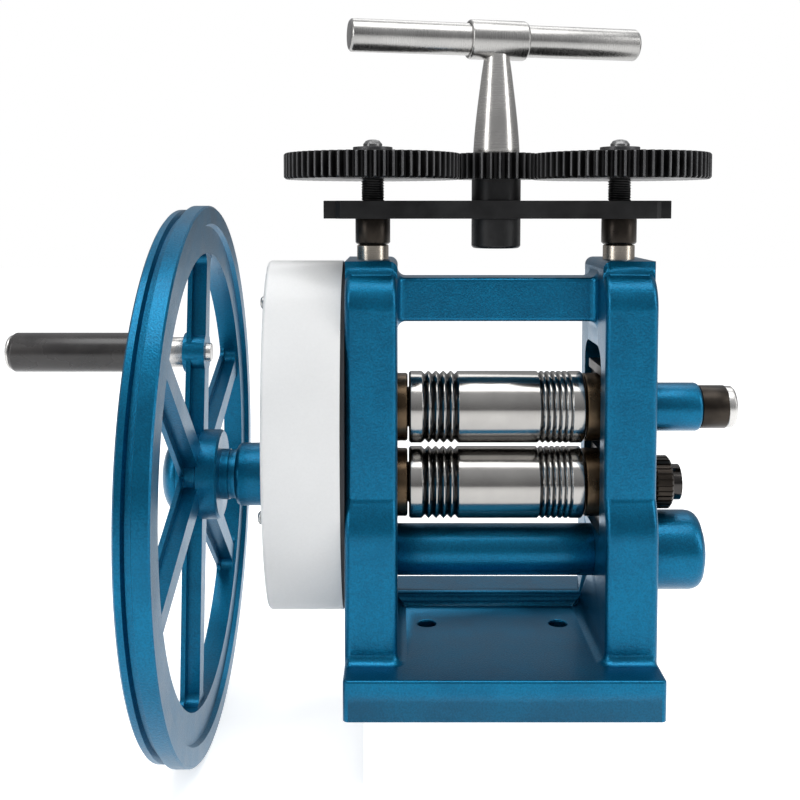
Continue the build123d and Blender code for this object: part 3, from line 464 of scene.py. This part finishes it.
def roll_face():
    """Working face of a roll, with its grooves."""
    points = [(-ROLL_HALF, ROLL_R - 1.2), (-ROLL_HALF + 1.2, ROLL_R)]
    for first, pitch, count, groove_width, groove_depth, shrink in GROOVES:
        for i in range(count):
            size = 1.0 - shrink * i
            middle = first + pitch * i
            points.append((middle - groove_width * size / 2, ROLL_R))
            points.append((middle, ROLL_R - groove_depth * size))
            points.append((middle + groove_width * size / 2, ROLL_R))
    return points + [(ROLL_HALF - 1.2, ROLL_R), (ROLL_HALF, ROLL_R - 1.2)]


for node, body in (("lower_roll", "lower_roll"), ("upper_roll", "upper_roll")):
    low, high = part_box(node)
    height = (low.z + high.z) / 2
    left_end = low.x / MM
    right_end = high.x / MM
    profile = [
        (left_end, 0),
        (left_end, GEAR_SEAT_R),
        (GEAR_SEAT_END, GEAR_SEAT_R),
        (GEAR_SEAT_END, JOURNAL_R),
        (-ROLL_HALF, JOURNAL_R),
    ]
    profile += roll_face()
    seat_start, seat_r = LOCK_SEAT if node == "lower_roll" else NUT_SEAT
    profile += [
        (ROLL_HALF, JOURNAL_R),
        (seat_start, JOURNAL_R),
        (seat_start, seat_r),
        (right_end, seat_r),
        (right_end, 0),
    ]
    mirror_steel = machined(
        f"{node}_mirror_steel",
        (0.28, 0.272, 0.26, 1),
        (0.42, 0.408, 0.39, 1),
        (1, 0, 0),
        5200.0,
        0.000006,
        0.12,
        0.20,
        # painted shade colour for the bottoms of the grooves
        (height, ROLL_R * MM, (0.05, 0.047, 0.045, 1)),
    )
    roll = turned(node + "_polished", profile, (1, 0, 0), (0, 0, height), 0.22, 192)
    settle(roll, body, mirror_steel, [node])


# ---- right ends of the rolls ---------------------------------------------------------------
# The lower journal carries a dark ring and a serrated lock nut.  The upper one runs out
# through a painted sleeve that is spigoted into its block, behind a browned distance ring
# and a bright end nut, whose mesh is open against the ring.
browned_steel = oiled(
    "browned_steel", (0.014, 0.011, 0.009, 1), (0.042, 0.034, 0.027, 1), 0.85, 55.0, 0.26, 0.42
)
turned_steel_x = machined(
    "turned_steel_x",
    (0.42, 0.41, 0.40, 1),
    (0.62, 0.61, 0.59, 1),
    (1, 0, 0),
    4200.0,
    0.00001,
    0.2,
    0.36,
)


def placed(node):
    """Low and high corners of a CAD node in millimetres."""
    low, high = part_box(node)
    return low / MM, high / MM


def axis_of(node):
    """Middle of a CAD piece that is turned about an axis along X."""
    low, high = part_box(node)
    return (0, (low.y + high.y) / 2, (low.z + high.z) / 2)


low, high = placed("lock_ring")
ring = turned(
    "lock_ring_finish",
    [(low.x, 13.6), (low.x, 18.2), (high.x - 1, 19), (high.x, 17.2), (high.x, 13.6)],
    (1, 0, 0),
    axis_of("lock_ring"),
    0.3,
)
settle(ring, "lower_roll", browned_steel, ["lock_ring"])
nut = dressed("lock_nut", 0.12 * MM, 1, 30.0)
settle(nut, "lower_roll", browned_steel, ["lock_nut"])

low, high = placed("journal_sleeve")
profile = [
    (109.0, 15.05), (109.0, 18.2), (high.x - 3.4, 18.2), (high.x - 1.3, 17.5), (high.x - 0.3, 16.2),
    (high.x, 15.05),
]
settle(turned("journal_sleeve_finish", profile, (1, 0, 0), axis_of("journal_sleeve"), 0.6, 128, 3),
       "upper_blocks", blue_enamel, ["journal_sleeve"])
low, high = placed("journal_ring")
profile = [(low.x, 12.02), (low.x, 16.2), (high.x, 16.2), (high.x, 12.02)]
settle(turned("journal_ring_finish", profile, (1, 0, 0), axis_of("journal_ring"), 0.4),
       "upper_roll", browned_steel, ["journal_ring"])
low, high = placed("journal_nut")
profile = [
    (low.x, 15.0), (low.x + 0.7, 15.7), (high.x - 1.7, 15.7), (high.x, 14.1), (high.x, 12.2),
    (high.x - 0.5, 11.6), (high.x - 0.5, 0),
]
settle(
    turned("journal_nut_finish", profile, (1, 0, 0), axis_of("journal_nut"), 0.3),
    "upper_roll",
    turned_steel_x,
    ["journal_nut"],
)


# ---- stay tube and layshaft cap --------------------------------------------------------------
# A steel tube stays the two standards apart and covers the layshaft.  A drawn steel cup closes
# its right end, and its mesh is open towards the standard.  Both wear the casting's enamel.
low, high = placed("stay_tube")
tube_r = (high.z - low.z) / 2
profile = [(low.x, 13.5), (low.x, tube_r), (high.x, tube_r), (high.x, 13.5)]
settle(turned("stay_tube_finish", profile, (1, 0, 0), axis_of("stay_tube"), 0.3),
       "frame", blue_enamel, ["stay_tube"])
low, high = placed("layshaft_cap")
cap_r = (high.z - low.z) / 2
cap_end = high.x
profile = [
    (low.x, cap_r - 5),
    (low.x, cap_r - 0.6),
    (low.x + 0.8, cap_r),
    (cap_end - 13, cap_r),
    (cap_end - 9.5, cap_r - 0.5),
    (cap_end - 6.6, cap_r - 1.8),
    (cap_end - 4.5, cap_r - 4.0),
    (cap_end - 3.6, cap_r - 7.4),
    (cap_end - 3.3, cap_r - 9.4),
    (cap_end - 2.4, cap_r - 10.0),
    (cap_end - 1.2, cap_r - 15.0),
    (cap_end - 0.3, cap_r - 22.0),
    (cap_end, 0),
]
settle(
    turned("layshaft_cap_finish", profile, (1, 0, 0), axis_of("layshaft_cap"), 0.5, 160, 3),
    "frame",
    blue_enamel,
    ["layshaft_cap"],
)


# ---- gear train ----------------------------------------------------------------------------
# Hobbed steel gears between the hand wheel and the rolls, packed in grease inside the case,
# on a plain ground layshaft in bronze bushes.
greased_steel = oiled(
    "greased_steel", (0.10, 0.085, 0.06, 1), (0.30, 0.29, 0.27, 1), 0.95, 90.0, 0.2, 0.42
)


def finish(node, material):
    """Put a material on a CAD piece that keeps its own mesh."""
    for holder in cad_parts[node].material_slots:
        holder.material = material


for node in (
    "lower_roll_gear",
    "upper_roll_gear",
    "bull_gear",
    "layshaft_pinion",
    "layshaft_gear",
    "wheel_pinion",
    "layshaft",
    "layshaft_collar",
    "housing_ring_nut",
):
    finish(node, greased_steel)
for node in ("layshaft_bushes", "wheel_bush"):
    finish(node, brown_bronze)


# ---- gear case -----------------------------------------------------------------------------
# A flat steel back plate is screwed to the left standard, and a one-piece oval cover of
# pressed steel in satin white enamel hides the gears.  Four pan-head screws hold it.
SATIN_WHITE = (0.83, 0.83, 0.82, 1)
WARM_WHITE = (0.81, 0.81, 0.80, 1)
white_enamel = painted(
    "white_enamel", WARM_WHITE, SATIN_WHITE, 0.0, 520.0, 0.00003, 0.28, 0.34, 0.1
)
dark_gasket = oiled(
    "dark_gasket", (0.006, 0.007, 0.009, 1), (0.014, 0.015, 0.018, 1), 0.0, 80.0, 0.5, 0.7
)
settle(
    dressed("gear_cover", 0.5 * MM, 2, 40.0), "frame", white_enamel, ["gear_cover"]
)
settle(
    dressed("case_back_plate", 0.3 * MM),
    "frame",
    dark_gasket,
    ["case_back_plate"],
)
settle(dressed("case_screws", 0.2 * MM), "frame", greased_steel, ["case_screws"])
settle(
    dressed("cover_screws", 0.25 * MM), "frame", turned_steel_x, ["cover_screws"]
)


# ---- wheel bearing housing -------------------------------------------------------------------
# Painted iron housing of the wheel shaft, clamped through the face of the cover, with a thin
# black joint behind its flange.
low, high = placed("wheel_housing")
house_r = (high.z - low.z) / 2
profile = [
    (low.x, 13.6),
    (low.x, house_r - 3.4),
    (low.x + 1.0, house_r - 1.2),
    (low.x + 3.2, house_r),
    (-171.2, house_r),
    (-171.2, house_r - 0.8),
    (-170.0, house_r - 0.8),
    (-170.0, 20.9),
    (high.x, 20.9),
    (high.x, 13.6),
]
settle(turned("wheel_housing_finish", profile, (1, 0, 0), axis_of("wheel_housing"), 0.5, 128, 3),
       "frame", blue_enamel, ["wheel_housing"])


# ---- hand wheel ------------------------------------------------------------------------------
# One grey-iron casting in blue enamel: a rim with a groove round its edge and a recessed flat
# on each side, six ribbed spokes and a hub barrel.  It is keyed on the shaft and held by a
# hexagon nut under a domed cap.
settle(
    dressed("hand_wheel", 0.7 * MM, 2, 28.0),
    "hand_wheel",
    blue_enamel,
    ["hand_wheel"],
)
hub_z = axis_of("wheel_housing")[2]
profile = [
    (-236.5, 0), (-236.5, 29.0), (-238.6, 28.8), (-241.0, 27.8), (-243.6, 25.6), (-245.8, 22.4),
    (-247.6, 18.4), (-248.9, 13.6), (-249.7, 7.6), (-250.0, 0),
]
settle(
    turned("hub_cap_finish", profile, (1, 0, 0), (0, 0, hub_z), 0.3),
    "hand_wheel",
    blue_enamel,
    ["hub_cap"],
)
finish("hub_nut", greased_steel)
finish("wheel_shaft", turned_steel_x)
low, high = placed("hub_spacer")
profile = [(low.x, 10.02), (low.x, 18.2), (high.x, 18.2), (high.x, 10.02)]
settle(
    turned("hub_spacer_finish", profile, (1, 0, 0), (0, 0, hub_z), 0.25),
    "hand_wheel",
    blue_enamel,
    ["hub_spacer"],
)


# ---- crank -----------------------------------------------------------------------------------
# A turned steel pin is screwed into the boss on a spoke.  A tube of black phenolic turns freely
# on it, held by a bright washer that is riveted on the end.
black_phenolic = oiled(
    "black_phenolic", (0.012, 0.011, 0.011, 1), (0.030, 0.027, 0.026, 1), 0.0, 40.0, 0.2, 0.32
)
grip_axis = axis_of("crank_grip")
low, high = placed("crank_pin")
grip_low, grip_high = placed("crank_grip")
profile = [
    (high.x, 0), (high.x, 7.0), (-236.0, 7.0), (-236.0, 11.6), (grip_high.x + 0.5, 11.6),
    (grip_high.x + 0.5, 7.0), (low.x, 7.0), (low.x, 0),
]
settle(
    turned("crank_pin_finish", profile, (1, 0, 0), grip_axis, 0.4),
    "hand_wheel",
    turned_steel_x,
    ["crank_pin"],
)
grip_r = (grip_high.z - grip_low.z) / 2
profile = [
    (grip_high.x, 7.05), (grip_high.x, grip_r - 1.6), (grip_high.x - 1.5, grip_r),
    (grip_low.x + 2.6, grip_r), (grip_low.x, grip_r - 1.6), (grip_low.x, 7.05),
]
settle(
    turned("crank_grip_finish", profile, (1, 0, 0), grip_axis, 0.5, 128, 3),
    "crank_grip",
    black_phenolic,
    ["crank_grip"],
)
low, high = placed("crank_end_washer")
profile = [
    (high.x, 0),
    (high.x, 12.9),
    (high.x - 1.3, 12.9),
    (low.x + 0.3, 11.8),
    (low.x, 10.2),
    (low.x, 4.4),
    (low.x + 0.25, 4.0),
    (low.x + 0.1, 0),
]
settle(
    turned("crank_end_washer_finish", profile, (1, 0, 0), grip_axis, 0.2),
    "hand_wheel",
    turned_steel_x,
    ["crank_end_washer"],
)


# ---- adjusting screws ------------------------------------------------------------------------
# Ground steel screws press the upper blocks down.  A blackened collar on each carries the
# bridge plate, and above it a fine thread runs up to the gear that is pinned to its top.
THREAD_PITCH = 1.8
THREAD_R = 8.6
CORE_R = 7.3

black_oxide = oiled(
    "black_oxide", (0.007, 0.007, 0.0075, 1), (0.018, 0.018, 0.0185, 1), 0.6, 60.0, 0.34, 0.5
)
warm_steel = machined(
    "warm_steel",
    (0.30, 0.265, 0.22, 1),
    (0.52, 0.47, 0.405, 1),
    (0, 0, 1),
    5200.0,
    0.000008,
    0.22,
    0.34,
)


def helix_thread(name, x, bottom, top):
    """Screw thread: a V profile carried along a spiral by a node tree."""
    group = bpy.data.node_groups.new(name, "GeometryNodeTree")
    group.interface.new_socket("Geometry", in_out="INPUT", socket_type="NodeSocketGeometry")
    group.interface.new_socket("Geometry", in_out="OUTPUT", socket_type="NodeSocketGeometry")
    sizes = {}
    for label, value in (
        ("Pitch", THREAD_PITCH * MM),
        ("Height", (top - bottom) * MM),
        ("Radius", (CORE_R - 0.15) * MM),
        ("Tooth", (THREAD_R - CORE_R + 0.15) * MM),
    ):
        socket = group.interface.new_socket(label, in_out="INPUT", socket_type="NodeSocketFloat")
        sizes[label] = (socket.identifier, value)
    material_socket = group.interface.new_socket(
        "Material", in_out="INPUT", socket_type="NodeSocketMaterial"
    )
    nodes = group.nodes
    links = group.links
    given = nodes.new("NodeGroupInput")
    result = nodes.new("NodeGroupOutput")
    turns = nodes.new("ShaderNodeMath")
    turns.operation = "DIVIDE"
    links.new(given.outputs["Height"], turns.inputs[0])
    links.new(given.outputs["Pitch"], turns.inputs[1])
    spiral = nodes.new("GeometryNodeCurveSpiral")
    spiral.inputs["Resolution"].default_value = 48
    links.new(turns.outputs[0], spiral.inputs["Rotations"])
    links.new(given.outputs["Radius"], spiral.inputs["Start Radius"])
    links.new(given.outputs["Radius"], spiral.inputs["End Radius"])
    links.new(given.outputs["Height"], spiral.inputs["Height"])
    tooth = nodes.new("GeometryNodeCurvePrimitiveCircle")
    tooth.inputs["Resolution"].default_value = 4
    links.new(given.outputs["Tooth"], tooth.inputs["Radius"])
    sweep = nodes.new("GeometryNodeCurveToMesh")
    sweep.inputs["Fill Caps"].default_value = True
    links.new(spiral.outputs["Curve"], sweep.inputs["Curve"])
    links.new(tooth.outputs["Curve"], sweep.inputs["Profile Curve"])
    real = nodes.new("GeometryNodeRealizeInstances")
    paint = nodes.new("GeometryNodeSetMaterial")
    links.new(sweep.outputs["Mesh"], real.inputs["Geometry"])
    links.new(real.outputs["Geometry"], paint.inputs["Geometry"])
    links.new(given.outputs["Material"], paint.inputs["Material"])
    links.new(paint.outputs["Geometry"], result.inputs["Geometry"])
    piece = bpy.data.objects.new(name, bpy.data.meshes.new(name))
    bpy.context.scene.collection.objects.link(piece)
    modifier = piece.modifiers.new("thread", "NODES")
    modifier.node_group = group
    for identifier, value in sizes.values():
        modifier[identifier] = value
    modifier[material_socket.identifier] = black_oxide
    baked(piece)
    piece.data.transform(Matrix.Translation((x * MM, 0, bottom * MM)))
    return piece


GEAR_WIDTH = 19.0
plate_top = placed("bridge_plate")[1].z
gear_top = placed("centre_gear")[1].z
gear_bottom = gear_top - GEAR_WIDTH
for side in ("left", "right"):
    body = side + "_screw"
    low, high = placed("screw_spindle_" + side)
    collar_low, collar_high = placed("screw_collar_" + side)
    x = (low.x + high.x) / 2
    foot = low.z
    profile = [
        (foot, 0),
        (foot, 10.0),
        (foot + 3.4, 10.0),
        (foot + 3.4, 7.0),
        (foot + 9.0, 7.0),
        (foot + 9.0, 10.4),
        (foot + 10.4, 11.75),
        (collar_low.z - 1.2, 11.75),
        (collar_low.z - 0.5, 11.0),
        (collar_low.z, 8.2),
        (plate_top, 8.2),
        (plate_top, CORE_R),
        (gear_bottom, CORE_R),
        (gear_bottom, 7.0),
        (high.z, 7.0),
        (high.z, 0),
    ]
    centre = (x * MM, 0, 0)
    spindle = turned(f"screw_spindle_{side}_finish", profile, (0, 0, 1), centre, 0.2)
    settle(spindle, body, warm_steel, ["screw_spindle_" + side])
    thread = helix_thread(f"screw_thread_{side}", x, plate_top + 0.3, gear_bottom - 0.3)
    settle(thread, body, black_oxide)
    core = turned(
        f"screw_thread_core_{side}",
        [
            (plate_top + 0.02, CORE_R),
            (plate_top + 0.02, CORE_R + 0.2),
            (gear_bottom - 0.02, CORE_R + 0.2),
            (gear_bottom - 0.02, CORE_R),
        ],
        (0, 0, 1),
        centre,
        0,
    )
    settle(core, body, black_oxide)
    profile = [
        (collar_low.z, 8.22),
        (collar_low.z, 11.8),
        (collar_low.z + 1.2, 13.0),
        (collar_high.z, 13.0),
        (collar_high.z, 8.22),
    ]
    collar = turned(f"screw_collar_{side}_finish", profile, (0, 0, 1), centre, 0.35)
    settle(collar, body, browned_steel, ["screw_collar_" + side])


# ---- adjusting gears -------------------------------------------------------------------------
# Three hobbed spur gears in black oxide lie side by side on the bridge plate, with a painted
# grey highlight on their tooth tips.  A washer and a slotted screw hold each outer one down.
def toothed(name, x, tip):
    """Black oxide with a painted grey highlight on the outermost skin of the teeth."""
    material, nodes, links, shader, place = new_material(name, 0.7)
    film = nodes.new("ShaderNodeGroup")
    film.node_tree = oil_film
    film.inputs["Scale"].default_value = 70.0
    film.inputs["Rough Low"].default_value = 0.3
    film.inputs["Rough High"].default_value = 0.46
    links.new(place, film.inputs["Vector"])
    centred = nodes.new("ShaderNodeMapping")
    centred.inputs["Location"].default_value = (-x, 0, 0)
    centred.inputs["Scale"].default_value = (1, 1, 0)
    links.new(place, centred.inputs["Vector"])
    length = nodes.new("ShaderNodeVectorMath")
    length.operation = "LENGTH"
    links.new(centred.outputs["Vector"], length.inputs[0])
    # Painted highlight: the colour turns lighter grey towards the tips of the teeth.
    tip_highlight = nodes.new("ShaderNodeMapRange")
    tip_highlight.inputs["From Min"].default_value = tip - 0.75 * MM
    tip_highlight.inputs["From Max"].default_value = tip - 0.05 * MM
    links.new(length.outputs["Value"], tip_highlight.inputs["Value"])
    base = two_colours(
        nodes, links, film.outputs["Mask"], (0.006, 0.006, 0.0065, 1), (0.014, 0.014, 0.0145, 1)
    )
    # painted highlight colour at the tooth tips
    colour = two_colours(nodes, links, tip_highlight.outputs["Result"], base, (0.085, 0.085, 0.087, 1))
    links.new(colour, shader.inputs["Base Color"])
    links.new(film.outputs["Roughness"], shader.inputs["Roughness"])
    links.new(film.outputs["Normal"], shader.inputs["Normal"])
    return material


washer_grey = oiled(
    "washer_grey", (0.035, 0.035, 0.037, 1), (0.085, 0.085, 0.088, 1), 0.7, 90.0, 0.32, 0.48
)
for side in ("left", "right"):
    body = side + "_screw"
    low, high = placed("screw_gear_" + side)
    x = (low.x + high.x) / 2
    tip = (high.x - low.x) / 2 * MM
    gear = dressed("screw_gear_" + side, 0.22 * MM, 1, 30.0)
    settle(
        gear,
        body,
        toothed(f"toothed_oxide_{side}", x * MM, tip),
        ["screw_gear_" + side],
    )
    low, high = placed("gear_washer_" + side)
    washer_r = (high.x - low.x) / 2
    profile = [(low.z, 4.2), (low.z, washer_r), (high.z, washer_r), (high.z, 4.2)]
    washer = turned(f"gear_washer_{side}_finish", profile, (0, 0, 1), (x * MM, 0, 0), 0.4)
    settle(washer, body, washer_grey, ["gear_washer_" + side])
grey_steel = oiled(
    "grey_steel", (0.10, 0.10, 0.10, 1), (0.24, 0.24, 0.24, 1), 0.9, 160.0, 0.25, 0.42
)
for side in ("left", "right"):
    bolt = dressed("gear_bolt_" + side, 0.2 * MM, 2, 35.0)
    settle(bolt, side + "_screw", grey_steel, ["gear_bolt_" + side])

CENTRE_TIP_R = 30.0
gear = dressed("centre_gear", 0.22 * MM, 1, 30.0)
centre_oxide = toothed("toothed_oxide_centre", 0.0, CENTRE_TIP_R * MM)
settle(gear, "handle", centre_oxide, ["centre_gear"])
settle(
    dressed("centre_hub", 0.5 * MM, 2, 35.0), "handle", black_oxide, ["centre_hub"]
)
settle(
    dressed("bridge_plate", 0.5 * MM, 2, 35.0), "head", black_oxide, ["bridge_plate"]
)


# ---- T handle --------------------------------------------------------------------------------
# The column is turned from bright steel in a long taper.  Its top is bored across for the bar,
# which is pressed through and has chamfered ends.
BAR_TURN = radians(13.0)
bar_axis = (cos(BAR_TURN), sin(BAR_TURN), 0)
bar_steel = machined(
    "bar_steel",
    (0.25, 0.247, 0.240, 1),
    (0.42, 0.413, 0.400, 1),
    bar_axis,
    4600.0,
    0.000010,
    0.20,
    0.32,
)
column_steel = machined(
    "column_steel",
    (0.44, 0.43, 0.415, 1),
    (0.64, 0.625, 0.60, 1),
    (0, 0, 1),
    4200.0,
    0.000008,
    0.20,
    0.32,
)
low, high = placed("handle_bar")
bar_z = (low.z + high.z) / 2
bar_r = (high.z - low.z) / 2
centre = (0, 0, bar_z * MM)
BAR_HALF = 111.0
profile = [
    (-BAR_HALF, 0),
    (-BAR_HALF, bar_r - 1.6),
    (-BAR_HALF + 1.6, bar_r),
    (BAR_HALF - 1.6, bar_r),
    (BAR_HALF, bar_r - 1.6),
    (BAR_HALF, 0),
]
settle(
    turned("handle_bar_finish", profile, bar_axis, centre, 0.4, 128, 3),
    "handle",
    bar_steel,
    ["handle_bar"],
)
foot = gear_top
profile = [
    (foot - 0.4, 0),
    (foot - 0.4, 17.2),
    (foot + 4.0, 17.0),
    (foot + 12.0, 16.5),
    (foot + 22.0, 15.6),
    (foot + 34.0, 14.3),
    (foot + 46.0, 12.8),
    (foot + 58.0, 11.3),
    (bar_z - 14.0, 9.6),
    (bar_z - 8.0, 9.6),
    (bar_z - 8.0, 0),
]
column = turned("handle_column_finish", profile, (0, 0, 1), (0, 0, 0), 0.3)
settle(column, "handle", column_steel, ["handle_column"])
profile = [
    (-22.0, bar_r), (-22.0, 13.5), (-20.7, 14.4), (20.7, 14.4), (22.0, 13.5), (22.0, bar_r),
]
sleeve = turned("handle_sleeve", profile, bar_axis, centre, 0.4, 128, 3)
settle(sleeve, "handle", bar_steel)


# ---- studio ----------------------------------------------------------------------------------
# The wheel hangs lower than the base, so the mill stands on a white plinth over a white
# floor.  Soft boxes stand above and on both sides, in a room that is dimmer than they are.
def white_stage(name, corners):
    """Flat white board that keeps the shadows that fall on it."""
    mesh = bpy.data.meshes.new(name)
    mesh.from_pydata(corners, [], [tuple(range(len(corners)))])
    board = bpy.data.objects.new(name, mesh)
    bpy.context.scene.collection.objects.link(board)
    return board


stage_white = bpy.data.materials.new("stage_white")
stage_white.use_nodes = True
nodes = stage_white.node_tree.nodes
links = stage_white.node_tree.links
shader = nodes["Principled BSDF"]
shader.inputs["Base Color"].default_value = (0.86, 0.86, 0.86, 1)
shader.inputs["Roughness"].default_value = 0.9
rays = nodes.new("ShaderNodeLightPath")
seen = nodes.new("ShaderNodeMath")
seen.operation = "MAXIMUM"
links.new(rays.outputs["Is Camera Ray"], seen.inputs[0])
also = nodes.new("ShaderNodeMath")
also.operation = "MAXIMUM"
links.new(rays.outputs["Is Glossy Ray"], also.inputs[0])
links.new(rays.outputs["Is Transmission Ray"], also.inputs[1])
links.new(also.outputs[0], seen.inputs[1])
lift = nodes.new("ShaderNodeMath")
lift.operation = "MULTIPLY"
lift.inputs[1].default_value = 0.55
links.new(seen.outputs[0], lift.inputs[0])
shader.inputs["Emission Color"].default_value = (1, 1, 1, 1)
links.new(lift.outputs[0], shader.inputs["Emission Strength"])

wheel_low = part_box("hand_wheel")[0].z
reach = 6.0
floor = white_stage(
    "floor",
    [
        (-reach, -reach, wheel_low),
        (reach, -reach, wheel_low),
        (reach, reach, wheel_low),
        (-reach, reach, wheel_low),
    ],
)
floor.data.materials.append(stage_white)
base_low, base_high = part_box("frame_casting")
inset = 14.0 * MM
plinth = bmesh.new()
bmesh.ops.create_cube(plinth, size=1.0)
for vert in plinth.verts:
    vert.co.x = (base_low.x + inset) if vert.co.x < 0 else (base_high.x - inset)
    vert.co.y = (base_low.y + inset) if vert.co.y < 0 else (base_high.y - inset)
    vert.co.z = wheel_low if vert.co.z < 0 else base_low.z - 0.2 * MM
block = bpy.data.objects.new("plinth", bpy.data.meshes.new("plinth"))
plinth.to_mesh(block.data)
plinth.free()
bpy.context.scene.collection.objects.link(block)
block.data.materials.append(stage_white)

world = bpy.data.worlds.new("studio")
bpy.context.scene.world = world
world.use_nodes = True
nodes = world.node_tree.nodes
links = world.node_tree.links
background = nodes["Background"]
rays = nodes.new("ShaderNodeLightPath")
direction = nodes.new("ShaderNodeTexCoord").outputs["Generated"]
parts = nodes.new("ShaderNodeSeparateXYZ")
links.new(direction, parts.inputs[0])
ramp = nodes.new("ShaderNodeValToRGB")
ramp.color_ramp.elements[0].position = 0.0
ramp.color_ramp.elements[0].color = (0.16, 0.16, 0.165, 1)
ramp.color_ramp.elements[1].position = 1.0
ramp.color_ramp.elements[1].color = (0.80, 0.81, 0.83, 1)
middle = ramp.color_ramp.elements.new(0.5)
middle.color = (0.24, 0.24, 0.245, 1)
raise_z = nodes.new("ShaderNodeMapRange")
raise_z.inputs["From Min"].default_value = -1.0
links.new(parts.outputs["Z"], raise_z.inputs["Value"])
links.new(raise_z.outputs["Result"], ramp.inputs["Fac"])
room = nodes.new("ShaderNodeMix")
room.data_type = "RGBA"
links.new(rays.outputs["Is Camera Ray"], room.inputs["Factor"])
links.new(ramp.outputs["Color"], room.inputs["A"])
room.inputs["B"].default_value = (1, 1, 1, 1)
links.new(room.outputs["Result"], background.inputs["Color"])


def soft_box(name, place, target, width, height, power):
    """Rectangular studio light that faces a point."""
    lamp = bpy.data.lights.new(name, "AREA")
    lamp.shape = "RECTANGLE"
    lamp.size = width
    lamp.size_y = height
    lamp.energy = power
    holder = bpy.data.objects.new(name, lamp)
    holder.location = place
    aim = Vector(target) - Vector(place)
    holder.rotation_euler = aim.to_track_quat("-Z", "Y").to_euler()
    bpy.context.scene.collection.objects.link(holder)
    return holder


MIDDLE = (0, 0, 0.2)
soft_box("top_box", (0.0, -0.35, 1.7), MIDDLE, 1.6, 0.9, 17.0)
soft_box("left_box", (-1.7, -1.1, 0.9), MIDDLE, 0.5, 1.5, 12.0)
soft_box("right_box", (1.6, -0.7, 0.9), MIDDLE, 0.5, 1.4, 10.0)
soft_box("back_box", (0.3, 1.1, 2.0), MIDDLE, 1.6, 0.8, 9.0)

camera_data = bpy.data.cameras.new("camera")
camera_data.sensor_width = 36.0
camera_data.lens = 47.5
camera_data.shift_y = -0.16
camera = bpy.data.objects.new("camera", camera_data)
camera.location = (-0.0717, -0.7897, 0.3524)
camera.rotation_euler = (pi / 2 - 0.0626, 0, 0)
bpy.context.scene.collection.objects.link(camera)
bpy.context.scene.camera = camera
bpy.context.scene.view_settings.view_transform = "Standard"
